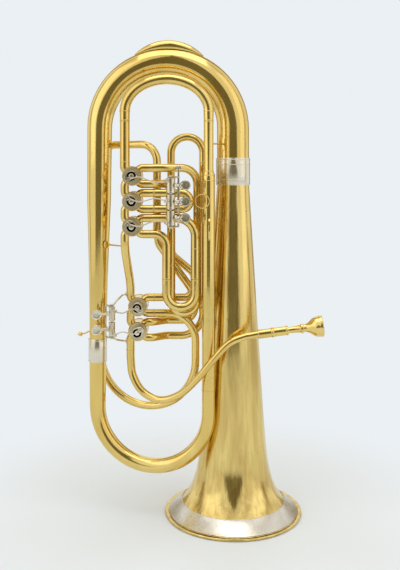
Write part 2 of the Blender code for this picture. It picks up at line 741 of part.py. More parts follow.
def make_crossover():
    """Tube from valve 4 up to valve 3, with its stay to the left branch."""
    upper = port_start(3, -1, -1)
    lower = port_start(4, -1, 1)
    high = upper[1].copy()
    high.z = CROSSOVER_TOP
    low = lower[1].copy()
    low.z = CROSSOVER_BOTTOM
    bends = [KNUCKLE_BEND, CROSSOVER_BEND, CROSSOVER_BEND, KNUCKLE_BEND]
    route = rounded(upper + [high, low, lower[1], lower[0]], bends)
    tube = add_object("valve_crossover", tube_mesh(route, VALVE_TUBE_RADIUS), BRASS)
    cut(tube, casing_cutter(3, "crossover_seat_3"))
    cut(tube, casing_cutter(4, "crossover_seat_4"))
    stay_z = 506.8
    branch = Vector((-2 * TOP_BOW_RADIUS, 0, stay_z))
    aim = Vector((branch.x, 0, stay_z)) - Vector((upper[1].x, FRONT_Y, stay_z))
    run = aim.normalized()
    start = Vector((upper[1].x, FRONT_Y, stay_z)) + run * (VALVE_TUBE_RADIUS - 0.5)
    end = branch - run * (20.9)
    rod = tube_mesh([start, end], 1.5, None, 6)
    join(tube, add_object("left_stay_rod", rod, BRASS))
    flange = disc_mesh(end - run * 1.6, run, 7.5, 1.6, 10)
    join(tube, add_object("left_stay_flange", flange, BRASS))
    return tube


def seated_tube(name, number, route, radius=VALVE_TUBE_RADIUS):
    """A fixed valve tube whose first end sits on its casing."""
    tube = add_object(name, tube_mesh(route, radius), BRASS)
    return cut(tube, casing_cutter(number, f"{name}_seat"))


def slide_mesh(corners, bends, radius, leg, leg_radius=SLIDE_LEG_RADIUS):
    """A slide: a bent tube whose two ends run on as thinner inner legs."""
    body = rounded(corners, bends)
    first = (body[0] - body[1]).normalized()
    last = (body[-1] - body[-2]).normalized()
    bore = leg_radius - WALL
    step = 0.1
    stations = [(body[0] + first * (leg + step), leg_radius, bore), (body[0] + first * step, leg_radius, bore)]
    stations += [(point, radius, radius - WALL) for point in body]
    stations += [(body[-1] + last * step, leg_radius, bore), (body[-1] + last * (leg + step), leg_radius, bore)]
    return stepped_tube_mesh(stations)


def upright_slide(name, left, right, joint_z, bow_z, radius, leg):
    """A U slide between two upright legs, which hangs or stands according to its bow."""
    gap = JOINT_GAP if bow_z > joint_z else -JOINT_GAP
    reach = (Vector(right) - Vector(left)).length / 2
    tip = bow_z + reach if bow_z > joint_z else bow_z - reach
    corners = []
    for x, y, z in ((left[0], left[1], joint_z + gap), (left[0], left[1], tip),
                    (right[0], right[1], tip), (right[0], right[1], joint_z + gap)):
        corners.append(Vector((x, y, z)))
    builder = slide_mesh(corners, [reach * 0.96, reach * 0.96], radius, leg)
    middle = ((left[0] + right[0]) / 2, (left[1] + right[1]) / 2, bow_z)
    return add_object(name, builder, BRASS, middle)


def make_valve_1_tubes():
    upper = port_start(1, 1, 1)
    high = upper[1].z
    route = upper + [(-125.0, FRONT_Y, high), (SLIDE_1_RIGHT_X, SLIDE_1_Y, high),
                     (SLIDE_1_RIGHT_X, SLIDE_1_Y, SLIDE_1_JOINT_Z)]
    seated_tube("valve_1_upper_tube", 1, rounded(route, [KNUCKLE_BEND, 40, 30]))
    lower = port_start(1, 1, -1)
    low = lower[1].z
    route = lower + [(-150.0, FRONT_Y, low), (SLIDE_1_LEFT_X, SLIDE_1_Y, low),
                     (SLIDE_1_LEFT_X, SLIDE_1_Y, SLIDE_1_JOINT_Z)]
    seated_tube("valve_1_lower_tube", 1, rounded(route, [KNUCKLE_BEND, 20, 16]))
    upright_slide("valve_1_slide", (SLIDE_1_LEFT_X, SLIDE_1_Y), (SLIDE_1_RIGHT_X, SLIDE_1_Y),
                  SLIDE_1_JOINT_Z, SLIDE_1_BOW_Z, VALVE_TUBE_RADIUS, SLIDE_LEG)


def make_valve_2_slide():
    centre = valve_centre(2)
    offset = port_offset()
    tip = SLIDE_2_BOW_X + offset
    start = SLIDE_2_JOINT_X + JOINT_GAP
    corners = [(start, FRONT_Y, centre.z + offset), (tip, FRONT_Y, centre.z + offset),
               (tip, FRONT_Y, centre.z - offset), (start, FRONT_Y, centre.z - offset)]
    builder = slide_mesh(corners, [offset * 0.96, offset * 0.96], VALVE_TUBE_RADIUS, SLIDE_2_LEG)
    pivot = (SLIDE_2_BOW_X, FRONT_Y, centre.z)
    slide = add_object("valve_2_slide", builder, BRASS, pivot)
    outward = Vector((math.sqrt(0.5), -math.sqrt(0.5), 0))
    root = Vector((tip, FRONT_Y, centre.z)) + outward * (VALVE_TUBE_RADIUS - 0.6)
    ring_y = FRONT_Y - THIRD_BRANCH_RADIUS - PULL_RING_CLEARANCE - PULL_RING_WIRE
    eye = Vector((tip + VALVE_TUBE_RADIUS + 2.5, ring_y, centre.z))
    middle = eye + Vector((PULL_RING_RADIUS, 0, 0))
    post = tube_mesh([root, eye], 1.4, None, 6)
    join(slide, add_object("pull_ring_post", post, BRASS))
    steps = 14
    wire = bmesh.new()
    rings = []
    for index in range(steps):
        angle = 2 * math.pi * index / steps
        out = Vector((math.cos(angle), 0, math.sin(angle)))
        rings.append(ring(wire, middle + out * PULL_RING_RADIUS, out, Vector((0, 1, 0)), PULL_RING_WIRE, 5))
    for index in range(steps):
        bridge(wire, rings[index], rings[(index + 1) % steps])
    join(slide, add_object("pull_ring", wire, BRASS))
    return slide


def make_valve_3_tubes():
    upper = port_start(3, 1, 1)
    route = upper + [(SLIDE_3_RIGHT_X, FRONT_Y, upper[1].z), (SLIDE_3_RIGHT_X, FRONT_Y, SLIDE_3_JOINT_Z)]

    def widening(share):
        return VALVE_TUBE_RADIUS + (SLIDE_3_RADIUS - VALVE_TUBE_RADIUS) * min(1.0, 1.6 * share)

    seated_tube("valve_3_upper_tube", 3, rounded(route, [KNUCKLE_BEND, 34]), widening)
    lower = port_start(3, 1, -1)
    route = lower + [(SLIDE_3_LEFT_X, FRONT_Y, lower[1].z), (SLIDE_3_LEFT_X, FRONT_Y, SLIDE_3_JOINT_Z)]
    seated_tube("valve_3_lower_tube", 3, rounded(route, [KNUCKLE_BEND, 22]), widening)
    upright_slide("valve_3_slide", (SLIDE_3_LEFT_X, FRONT_Y), (SLIDE_3_RIGHT_X, FRONT_Y),
                  SLIDE_3_JOINT_Z, SLIDE_3_JOINT_Z - SLIDE_3_DROP, SLIDE_3_RADIUS, SHORT_SLIDE_LEG)


def make_valve_4_tubes():
    upper = port_start(4, 1, 1)
    route = upper + [(-68.0, SLIDE_4_Y, upper[1].z), (-140.0, SLIDE_4_Y, 507.0),
                     (SLIDE_4_X, SLIDE_4_Y, 530.0), (SLIDE_4_X, SLIDE_4_Y, SLIDE_4_JOINT_Z)]
    seated_tube("valve_4_upper_tube", 4, rounded(route, [KNUCKLE_BEND, 12, 20, 20]), LOOP_RADIUS)
    lower = port_start(4, 1, -1)
    bend = 52.0
    turn = rounded(lower + [(LOOP_4_X, LOWER_Y, lower[1].z), (LOOP_4_X, LOWER_Y, LOOP_4_CENTRE_Z + 2)],
                   [KNUCKLE_BEND, bend])[:-1]
    radius = (LOOP_4_X - RISER_X) / 2
    centre_x = (LOOP_4_X + RISER_X) / 2
    bow = []
    for step in range(11):
        angle = math.pi * step / 10
        share = step / 10
        bow.append(Vector((centre_x + radius * math.cos(angle),
                           LOWER_Y + (RISER_Y - LOWER_Y) * (3 * share ** 2 - 2 * share ** 3),
                           LOOP_4_CENTRE_Z - radius * math.sin(angle))))
    route = turn + bow + [Vector((RISER_X, RISER_Y, SLIDE_4_JOINT_Z))]
    seated_tube("valve_4_lower_tube", 4, route, LOOP_RADIUS)
    tip = SLIDE_4_TOP
    corners = [Vector((RISER_X, RISER_Y, SLIDE_4_JOINT_Z + JOINT_GAP)), Vector((RISER_X, RISER_Y, tip)),
               Vector((SLIDE_4_X, SLIDE_4_Y, tip)), Vector((SLIDE_4_X, SLIDE_4_Y, SLIDE_4_JOINT_Z + JOINT_GAP))]
    builder = slide_mesh(corners, [33, 33], LOOP_RADIUS, SHORT_SLIDE_LEG)
    pivot = ((RISER_X + SLIDE_4_X) / 2, (RISER_Y + SLIDE_4_Y) / 2, tip)
    add_object("valve_4_slide", builder, BRASS, pivot)


def make_valve_5_tubes():
    upper = port_start(5, 1, 1)
    inner_x = SLIDE_5_RIGHT_X - 2 * LOOP_RADIUS - 1.4
    high = upper[1].z
    route = upper + [(-152.0, LOWER_Y, high), (-126.0, SLIDE_5_Y, high), (inner_x, SLIDE_5_Y, high),
                     (inner_x, SLIDE_5_Y, 450.0), (SLIDE_5_LEFT_X, SLIDE_5_Y, 487.0),
                     (SLIDE_5_LEFT_X, SLIDE_5_Y, SLIDE_5_JOINT_Z)]
    seated_tube("valve_5_upper_tube", 5, rounded(route, [KNUCKLE_BEND, 18, 18, 22, 22, 22]), LOOP_RADIUS)
    lower = port_start(5, 1, -1)
    low = lower[1].z
    route = lower + [(-152.0, LOWER_Y, low), (-126.0, SLIDE_5_Y, low), (SLIDE_5_RIGHT_X, SLIDE_5_Y, low),
                     (SLIDE_5_RIGHT_X, SLIDE_5_Y, SLIDE_5_JOINT_Z)]
    seated_tube("valve_5_lower_tube", 5, rounded(route, [KNUCKLE_BEND, 18, 18, 42]), LOOP_RADIUS)
    upright_slide("valve_5_slide", (SLIDE_5_LEFT_X, SLIDE_5_Y), (SLIDE_5_RIGHT_X, SLIDE_5_Y),
                  SLIDE_5_JOINT_Z, SLIDE_5_BOW_Z, LOOP_RADIUS, SHORT_SLIDE_LEG)


def mouthpiece_axis():
    angle = math.radians(MOUTHPIECE_RISE)
    return Vector((math.cos(angle), 0, math.sin(angle)))


def make_leadpipe():
    start = port_start(5, -1, -1)
    down = rounded(start + [(start[1].x, LOWER_Y, LEADPIPE_DROP_Z)], [KNUCKLE_BEND])
    bends = [(-188.6, -19, 262), (-169.5, -26, 233), (-136.0, -38, 221), (-100.4, -53, 235),
             (-68.1, -67.5, 267.4), (-39.2, -74, 303.6), (-12.1, -74.5, 332.4), (13.0, -72, 343.6)]
    entry = RECEIVER_START - mouthpiece_axis() * 6.0
    seat = RECEIVER_START + mouthpiece_axis() * (RECEIVER_SOCKET - 1)
    sweep = smooth_route([down[-1]] + [Vector(p) for p in bends] + [entry], 2)
    route = down[:-1] + sweep + [seat]

    def narrowing(share):
        return LEADPIPE_VALVE_RADIUS + (LEADPIPE_RADIUS - LEADPIPE_VALVE_RADIUS) * min(1.0, 1.6 * share)

    return seated_tube("leadpipe", 5, route, narrowing)


def make_mouthpiece():
    axis = mouthpiece_axis()
    socket = LEADPIPE_RADIUS + 3 * FIT
    shank = SHANK_RADIUS + 2 * FIT
    outer = RECEIVER_RADIUS
    length = RECEIVER_LENGTH
    profile = [
        (0, socket), (0, outer), (24, outer), (24.5, outer + 0.6), (27, outer + 0.6), (27.5, outer),
        (length - 3, outer), (length - 2.5, outer + 0.7), (length, outer + 0.7), (length, shank),
        (RECEIVER_SOCKET + 1, shank), (RECEIVER_SOCKET + 1, socket),
    ]
    add_object("mouthpiece_receiver", turned_mesh(profile, RECEIVER_START, axis, 12), BRASS)
    base = RECEIVER_START + axis * length
    rim = MOUTHPIECE_RIM_RADIUS
    outside = [
        (-SHANK_INSERT, SHANK_RADIUS), (FIT, SHANK_RADIUS), (23, 6.6), (24, 8.6), (28, 8.6), (29, 7.0),
        (34, 7.6), (40, 11.5), (46, 16.2), (52, 18.4), (58, rim), (62, rim), (63.4, rim - 2),
    ]
    inside = [(63.0, rim - 5), (60, rim - 6.2), (52, 12.4), (42, 8.2), (34, 4.2), (28, 3.4),
              (-SHANK_INSERT, 4.0)]
    mouthpiece = turned_mesh(outside + inside, base, axis, 14)
    return add_object("mouthpiece", mouthpiece, SILVER, base)


def lever_layout(number):
    """Axle place, side on which the fingers press, and drum size of a lever."""
    if number <= 3:
        centre = Vector((UPPER_AXLE_X, UPPER_AXLE_Y, UPPER_LEVER_Z[number - 1]))
        return centre, 1, UPPER_DRUM_RADIUS, UPPER_DRUM_HEIGHT
    centre = Vector((LOWER_AXLE_X, LOWER_AXLE_Y, LOWER_LEVER_Z[number - 4]))
    return centre, -1, LOWER_DRUM_RADIUS, LOWER_DRUM_HEIGHT


def crank_height(number):
    """Height of a lever's crank above its drum's centre."""
    return {1: 10.0, 2: 0.0, 3: -9.0, 4: 9.0, 5: -9.0}[number]


def crank_end(number):
    centre, side, _, _ = lever_layout(number)
    return centre + Vector((-side * CRANK_REACH_X, CRANK_REACH_Y, crank_height(number)))


def make_lever(number):
    """Spring drum open below, touch arm with its plate, and crank arm."""
    centre, side, radius, height = lever_layout(number)
    label = f"lever_{number}"
    half = height / 2
    profile = [(-half, radius - DRUM_WALL), (-half, radius), (half - 1, radius), (half, radius - 1),
               (half, AXLE_RADIUS + FIT), (half - 2, AXLE_RADIUS + FIT), (half - 2, radius - DRUM_WALL)]
    lever = add_object(label, turned_mesh(profile, centre, (0, 0, 1), 12), SILVER, centre)
    aim = Vector((side * TOUCH_REACH, -TOUCH_FORWARD, 0))
    start = centre + aim.normalized() * (radius - 0.5)
    plate = centre + aim
    arm = bar_mesh(start, plate - Vector((0, 1.4, 0)), 1.8, 6.0)
    join(lever, add_object(f"{label}_arm", arm, SILVER))
    touch = disc_mesh(plate - Vector((0, 0.6, 0)), (0, -1, 0), TOUCH_RADIUS, 1.8, 12)
    point = touch_point(touch, plate, side)
    join(lever, add_object(f"{label}_touch", point, SILVER))
    tip = crank_end(number)
    toward = Vector((tip.x - centre.x, tip.y - centre.y, 0)).normalized()
    root = Vector((centre.x, centre.y, tip.z)) + toward * (radius - 0.5)
    join(lever, add_object(f"{label}_crank", bar_mesh(root, tip, 3.0, 2.4), SILVER))
    eye = disc_mesh(tip - Vector((0, 0, 1.0)), (0, 0, 1), 3.3, 2.0, 8)
    join(lever, add_object(f"{label}_eye", eye, SILVER))
    return lever


def touch_point(builder, plate, side):
    """Draws the plate's edge out to a point towards its arm."""
    for vert in builder.verts:
        across = vert.co - plate
        if side * across.x < 0:
            reach = 1 - abs(across.z) / TOUCH_RADIUS
            vert.co.x -= side * 2.6 * max(0.0, reach)
    return builder


def make_lever_spring(number):
    """The flat clock spring inside a drum, wound outwards from the axle."""
    centre, side, radius, height = lever_layout(number)
    start = AXLE_RADIUS + 0.4
    end = radius - DRUM_WALL - 0.5
    turns = 2.0
    steps = 14
    strip = 0.45
    half = height / 2 - 5.5
    builder = bmesh.new()
    rings = []
    for step in range(steps + 1):
        share = step / steps
        angle = side * 2 * math.pi * turns * share
        inner = start + (end - start - strip) * share
        out = Vector((math.cos(angle), math.sin(angle), 0))
        low = Vector((0, 0, -half))
        high = Vector((0, 0, half))
        corners = [out * inner + low, out * (inner + strip) + low, out * (inner + strip) + high,
                   out * inner + high]
        rings.append([builder.verts.new(centre + corner) for corner in corners])
    for a, b in zip(rings, rings[1:]):
        bridge(builder, a, b)
    builder.faces.new(rings[0])
    builder.faces.new(rings[-1])
    return add_object(f"lever_spring_{number}", builder, STEEL, centre)


def make_link(number):
    """S-shaped rod with an upright eye on the crank pin and a flat eye at the lever."""
    centre = valve_centre(number)
    front = centre.y - CASING_LENGTH / 2 - HUB_FRONT
    plane = front - 2.2
    pin = centre + crank_direction(number) * CRANK_RADIUS * math.sqrt(0.5)
    pin.y = plane
    tip = crank_end(number)
    above = -1 if number in (1, 4) else 1
    end = Vector((tip.x, plane, tip.z + above * 2.9))
    label = f"link_{number}"
    eye = turned_mesh([(-1.3, CRANK_PIN_RADIUS + FIT), (-1.3, 3.6), (1.3, 3.6), (1.3, CRANK_PIN_RADIUS + FIT)],
                      pin, (0, 1, 0), 8)
    link = add_object(label, eye, SILVER, pin)
    run = end - pin
    start = pin + Vector((math.copysign(3.0, run.x), 0, 0))
    bow = -above * 5.0
    route = smooth_route([start, pin + run * 0.3 + Vector((0, 0, bow)), pin + run * 0.68 - Vector((0, 0, bow * 0.4)),
                          end - Vector((math.copysign(2.4, run.x), 0, 0))], 3)
    join(link, add_object(f"{label}_rod", tube_mesh(route, 1.15, None, 5), SILVER))
    foot = disc_mesh(end - Vector((0, 0, 1.1)), (0, 0, 1), 3.0, 2.2, 8)
    join(link, add_object(f"{label}_foot", foot, SILVER))
    return link


def make_axle(name, x, y, heights, radius, height, low_plate, high_plate):
    """Axle with a disc that closes each drum below and spaces it from the next."""
    seat = radius - DRUM_WALL - FIT
    profile = [(low_plate - 1.0, 0), (low_plate - 1.0, AXLE_RADIUS)]
    for z in sorted(heights):
        bottom = z - height / 2
        profile += [(bottom - 1.5, AXLE_RADIUS), (bottom - 1.5, seat), (bottom + 1.5, seat),
                    (bottom + 1.5, AXLE_RADIUS)]
    profile += [(high_plate + 1.0, AXLE_RADIUS), (high_plate + 1.0, 0)]
    return add_object(name, turned_mesh(profile, (x, y, 0), (0, 0, 1), 12), SILVER)


def make_upper_key_work():
    x, y = UPPER_AXLE_X, UPPER_AXLE_Y
    top = UPPER_LEVER_Z[0] + UPPER_DRUM_HEIGHT / 2 + 0.4
    bottom = UPPER_LEVER_Z[-1] - UPPER_DRUM_HEIGHT / 2 - 2.0
    thick = FRAME_THICKNESS
    make_axle("lever_axle_upper", x, y, UPPER_LEVER_Z, UPPER_DRUM_RADIUS, UPPER_DRUM_HEIGHT,
              bottom - thick, top + thick)
    rail_x = x + 12.0
    rail_y = y + 2.5
    tube_front = FRONT_Y - VALVE_TUBE_RADIUS - FIT
    high_tube = UPPER_VALVE_TOP_Z + port_offset()
    low_tube = valve_centre(3).z + port_offset()
    frame = add_object("lever_frame_upper", box_mesh((rail_x, rail_y, bottom - thick),
                                                     (rail_x + 4, rail_y + 3.6, high_tube + 4)), SILVER)
    for z in (top, bottom - thick):
        plate = box_mesh((x - 5, y - 5, z), (rail_x + 3, y + 5, z + thick))
        join(frame, add_object(f"upper_plate_{round(z)}", plate, SILVER))
    for z in (high_tube, low_tube):
        foot = box_mesh((rail_x - 3, rail_y + 3, z - 4), (rail_x + 7, tube_front, z + 4))
        join(frame, add_object(f"upper_foot_{round(z)}", foot, SILVER))
    hole = disc_mesh((x, y, bottom - 2 * thick), (0, 0, 1), AXLE_RADIUS + FIT, top - bottom + 4 * thick, 12)
    return cut(frame, add_object("upper_axle_hole", hole, SILVER))


def make_lower_key_work():
    x, y = LOWER_AXLE_X, LOWER_AXLE_Y
    top = LOWER_LEVER_Z[0] + LOWER_DRUM_HEIGHT / 2 + 0.4
    bottom = LOWER_LEVER_Z[-1] - LOWER_DRUM_HEIGHT / 2 - 2.0
    thick = FRAME_THICKNESS
    make_axle("lever_axle_lower", x, y, LOWER_LEVER_Z, LOWER_DRUM_RADIUS, LOWER_DRUM_HEIGHT,
              bottom - thick, top + thick)
    rail_x = x - 10.5
    frame = add_object("lever_frame_lower", box_mesh((rail_x - 3, y + 2.5, bottom - thick),
                                                     (rail_x, y + 5.5, top + thick)), SILVER)
    for z in (top, bottom - thick):
        plate = box_mesh((rail_x - 2, y - 3.6, z), (x + 4, y + 5, z + thick))
        join(frame, add_object(f"lower_plate_{round(z)}", plate, SILVER))
    tube_x = LOWER_VALVE_X - port_offset() - VALVE_TUBE_RADIUS - FIT
    for z, rise in ((top + thick / 2, 19.0), (bottom - thick / 2, -10.0)):
        end_z = z + rise
        wide = 0.0 if rise > 0 else -0.3
        route = rounded([(x + 2, y, z), (x + 8, y, z + rise * 0.45), (tube_x - 6, LOWER_Y, end_z),
                         (tube_x + wide, LOWER_Y, end_z)], [8, 10])
        join(frame, add_object(f"lower_stay_{round(z)}", tube_mesh(route, 1.7, None, 6), SILVER))
    hole = disc_mesh((x, y, bottom - 2 * thick), (0, 0, 1), AXLE_RADIUS + FIT, top - bottom + 4 * thick, 12)
    return cut(frame, add_object("lower_axle_hole", hole, SILVER))


def stand_on_origin():
    """Moves the whole tuba so that its box is centred over the origin."""
    bpy.context.view_layer.update()
    graph = bpy.context.evaluated_depsgraph_get()
    low = Vector((1e9, 1e9, 1e9))
    high = -low
    for item in bpy.data.objects:
        if item.type != "MESH" or item.hide_render:
            continue
        shape = item.evaluated_get(graph)
        for corner in shape.bound_box:
            place = shape.matrix_world @ Vector(corner)
            low = Vector(map(min, low, place))
            high = Vector(map(max, high, place))
    ROOT.location = (-(low.x + high.x) / 2, -(low.y + high.y) / 2, -low.z)


make_bell()
make_garland()
make_ferrules()
make_top_bow()
make_bow_guard()
make_bottom_bow()
make_third_branch()
make_tuning_slide()
for valve in range(1, 6):
    make_casing(valve)
    make_rotor(valve)
    make_rear_cap(valve)
    make_lever(valve)
    make_lever_spring(valve)
    make_link(valve)
make_crossover()
make_valve_1_tubes()
make_valve_2_slide()
make_valve_3_tubes()
make_valve_4_tubes()
make_valve_5_tubes()
make_leadpipe()
make_mouthpiece()
make_upper_key_work()
make_lower_key_work()
stand_on_origin()
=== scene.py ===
# The looks of a rotary-valve tuba that stands on its bell.
# Lengths are millimetres in the part's local frame: the bell's axis is x = 0, y = 0, its rim is
# z = 0, and the front is -y. place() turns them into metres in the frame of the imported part.

import math

import bmesh
import bpy
from mathutils import Matrix, Vector


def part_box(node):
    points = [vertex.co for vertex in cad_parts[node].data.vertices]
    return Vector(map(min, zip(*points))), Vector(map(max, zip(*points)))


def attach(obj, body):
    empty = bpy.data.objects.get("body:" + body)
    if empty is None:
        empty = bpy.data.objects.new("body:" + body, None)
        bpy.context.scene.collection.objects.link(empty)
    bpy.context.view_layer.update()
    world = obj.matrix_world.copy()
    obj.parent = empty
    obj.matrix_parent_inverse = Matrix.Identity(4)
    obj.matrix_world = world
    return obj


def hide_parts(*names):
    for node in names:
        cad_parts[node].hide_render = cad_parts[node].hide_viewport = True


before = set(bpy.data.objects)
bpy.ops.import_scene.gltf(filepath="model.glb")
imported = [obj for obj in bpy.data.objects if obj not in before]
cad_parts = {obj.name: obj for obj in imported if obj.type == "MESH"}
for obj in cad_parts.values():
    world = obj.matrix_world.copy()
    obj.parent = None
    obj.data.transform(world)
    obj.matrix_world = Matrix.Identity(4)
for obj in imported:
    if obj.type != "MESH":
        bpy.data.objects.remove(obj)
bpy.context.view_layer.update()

MM = 0.001
BODY = "instrument"
BELL_LOW, BELL_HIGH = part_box("bell")
ORIGIN = Vector(((BELL_LOW[0] + BELL_HIGH[0]) / 2, (BELL_LOW[1] + BELL_HIGH[1]) / 2, BELL_LOW[2]))

# How finely round shapes are divided
TUBE_SIDES = 24
BOW_SIDES = 40
BELL_SIDES = 96
BEND_STEP = 7.5
BOW_STEPS = 40
TUBE_WALL = 1.0
BORE_DEPTH = 12.0

# Bell, its ferrule and its garland
BELL_TOP = 644.0
BELL_RADIUS_AT_FERRULE = 30.7
BELL_TAPER = 0.0621
BELL_FLARE = 60.4
BELL_FLARE_HEIGHT = 32.5
BELL_WALL = 1.3
RIM_WIRE_RADIUS = 2.4
GARLAND_FOOT = 5.5
GARLAND_TOP = 24.0
GARLAND_LIFT = 0.9
BELL_FERRULE_BOTTOM = 618.5
BELL_FERRULE_TOP = 669.8
BELL_FERRULE_RADIUS = 32.4
BELL_FERRULE_BEADS = (620.2, 629.3, 657.2, 666.5)

# Top bow and left branch
TOP_BOW_RADIUS = 126.6
TOP_BOW_CENTRE_Z = 725.0
TOP_BOW_END_RADIUS = 30.7
TOP_BOW_LEFT_RADIUS = 23.4
LEFT_BRANCH_LEAN = 3.8
LEFT_BRANCH_TAPER = ((590.0, 22.6), (523.5, 20.2), (438.0, 17.6), (330.0, 15.9), (306.0, 15.9))
LEFT_STAY_Z = 506.8
LEFT_BRANCH_STAY_REACH = 20.9
BOW_FERRULE_TOP = 327.6
BOW_FERRULE_BOTTOM = 283.9
BOW_FERRULE_RADIUS = 17.5
GUARD_TILT = 2.0
GUARD_HALF_ANGLE = 25.2
GUARD_HEIGHT = 15.4
GUARD_WRAP = 28.0

# Bottom bow, third branch and main tuning slide
FRONT_Y = -52.0
THIRD_BRANCH_X = -47.0
THIRD_BRANCH_BOTTOM = 241.7
THIRD_BRANCH_TOP = 636.0
THIRD_BRANCH_RADIUS = 12.2
THUMB_RING_Z = 539.0
RIGHT_STAY_Z = 695.6
BOTTOM_BOW_CENTRE_Z = 200.3
BOTTOM_BOW_LEFT_RADIUS = 15.9
BOTTOM_BOW_RIGHT_RADIUS = 12.0
SLEEVE_RADIUS = 8.9
SLEEVE_TOP = 737.0
TUNING_BOW_BASE = 755.0
TUNING_BOW_RISE = 58.5
TUNING_BOW_RADIUS = 9.4
TUNING_LEG_RADIUS = 7.1
TUNING_LEG_LENGTH = 62.0

# Rotary valves
CASING_RADIUS = 17.0
CASING_LENGTH = 40.0
ROTOR_RADIUS = 14.5
CRANK_RADIUS = 8.0
UPPER_VALVE_X = -186.0
UPPER_VALVE_TOP_Z = 636.0
LOWER_VALVE_X = -178.4
LOWER_VALVE_TOP_Z = 393.0
LOWER_Y = -17.0
VALVE_PITCH = 46.0
KNUCKLE_BEND = 9.0
VALVE_TUBE_RADIUS = 7.7
SLIDE_LEG_RADIUS = 5.7
PLATE_DEPTH = 0.6
HUB_FRONT = 14.0
HUB_RADIUS = 8.7

# Valve slides
SLIDE_1_Y = -34.5
SLIDE_1_LEFT_X = -116.2
SLIDE_1_RIGHT_X = -67.7
SLIDE_1_JOINT_Z = 470.0
SLIDE_1_BOW_Z = 406.3
SLIDE_2_JOINT_X = -147.0
SLIDE_2_BOW_X = -96.1
SLIDE_2_LEG = 16.0
PULL_RING_RADIUS = 12.7
PULL_RING_CLEARANCE = 0.9
PULL_RING_WIRE = 0.9
SLIDE_3_LEFT_X = -123.8
SLIDE_3_RIGHT_X = -71.3
SLIDE_3_RADIUS = 8.5
SLIDE_3_JOINT_Z = 447.0
SLIDE_3_DROP = 25.8
SLIDE_3_NECK_Z = 503.1
RISER_X = -255.0
RISER_Y = 38.0
SLIDE_4_X = -143.7
SLIDE_4_Y = -14.0
SLIDE_4_JOINT_Z = 645.0
SLIDE_4_TOP = 695.5
LOOP_4_X = -71.2
LOOP_4_CENTRE_Z = 288.4
SLIDE_5_Y = 2.5
SLIDE_5_LEFT_X = -117.9
SLIDE_5_RIGHT_X = -57.0
SLIDE_5_JOINT_Z = 660.0
SLIDE_5_BOW_Z = 679.4
LOOP_RADIUS = 7.5
CROSSOVER_TOP = 503.0
CROSSOVER_BOTTOM = 432.0
CROSSOVER_BEND = 60.0
VALVE_45_BEAD_X = -148.7
SLIDE_LEG = 50.0
SHORT_SLIDE_LEG = 40.0
JOINT_GAP = 0.45

# Leadpipe, receiver and mouthpiece
LEADPIPE_RADIUS = 6.4
LEADPIPE_VALVE_RADIUS = 7.9
LEADPIPE_DROP_Z = 296.0
RECEIVER_START = Vector((43.3, -70.0, 349.2))
MOUTHPIECE_RISE = 7.6
RECEIVER_LENGTH = 54.0
RECEIVER_RADIUS = 8.1
MOUTHPIECE_RIM_RADIUS = 19.3

# Levers, drums and links
UPPER_AXLE_X = -115.9
UPPER_AXLE_Y = -69.0
UPPER_LEVER_Z = (619.4, 590.0, 560.6)
UPPER_DRUM_RADIUS = 8.4
UPPER_DRUM_HEIGHT = 25.5
LOWER_AXLE_X = -226.4
LOWER_AXLE_Y = -33.0
LOWER_LEVER_Z = (380.4, 352.0)
LOWER_DRUM_RADIUS = 5.8
LOWER_DRUM_HEIGHT = 25.0
TOUCH_REACH = 27.0
TOUCH_FORWARD = 14.0
TOUCH_RADIUS = 9.2
TOUCH_POINT = 2.6
CRANK_REACH_X = 8.0
CRANK_REACH_Y = -20.5
FRAME_THICKNESS = 3.0

# The photographer's place and frame
PHOTO_WIDTH = 400
PHOTO_HEIGHT = 570
PHOTO_FOCAL_PIXELS = 789.0
PHOTO_HORIZON_PIXEL = 170.0
CAMERA_X = -62.7
CAMERA_DISTANCE = 1500.0
CAMERA_HEIGHT = 647.0
BACKDROP_COLOUR = (0.83, 0.87, 0.9)
DARK_ROOM = (0.19, 0.17, 0.11)
WHITE_TENT = (0.92, 0.92, 0.9)
DARK_FROM = -30.0
DARK_TO = 28.0
TENT_FOLDS = ((-158.0, -140.0), (-100.0, -92.0), (88.0, 96.0), (138.0, 162.0))
FOLD_SHADE = (0.42, 0.36, 0.26)
FLOOR_CLEAR = 0.3
FLOOR_FADED = 0.62


def place(builder):
    """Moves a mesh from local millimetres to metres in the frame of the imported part."""
    bmesh.ops.transform(builder, matrix=Matrix.Translation(ORIGIN) @ Matrix.Scale(MM, 4), verts=builder.verts)


def make_piece(name, builder, finish, body=BODY, nodes=()):
    """Makes the object, lets it ride on its body and hides the CAD nodes it stands for."""
    place(builder)
    bmesh.ops.recalc_face_normals(builder, faces=builder.faces)
    mesh = bpy.data.meshes.new(name)
    builder.to_mesh(mesh)
    builder.free()
    mesh.materials.append(finish)
    mesh.shade_smooth()
    mesh.set_sharp_from_angle(angle=math.radians(35))
    piece = bpy.data.objects.new(name, mesh)
    bpy.context.collection.objects.link(piece)
    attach(piece, body)
    if nodes:
        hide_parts(*nodes)
    return piece


def rounded(points, bends):
    """Replaces each inner corner of a route by an arc of its bend radius."""
    points = [Vector(p) for p in points]
    route = [points[0]]
    for before, corner, after, bend in zip(points, points[1:], points[2:], bends):
        inward = (before - corner).normalized()
        outward = (after - corner).normalized()
        turn = math.pi - inward.angle(outward)
        back = bend * math.tan(turn / 2)
        centre = corner + (inward + outward).normalized() * bend / math.cos(turn / 2)
        start = corner + inward * back - centre
        axis = inward.cross(outward).normalized() * -1.0
        steps = max(3, round(math.degrees(turn) / BEND_STEP))
        for step in range(steps + 1):
            route.append(centre + Matrix.Rotation(turn * step / steps, 3, axis) @ start)
    route.append(points[-1])
    return route


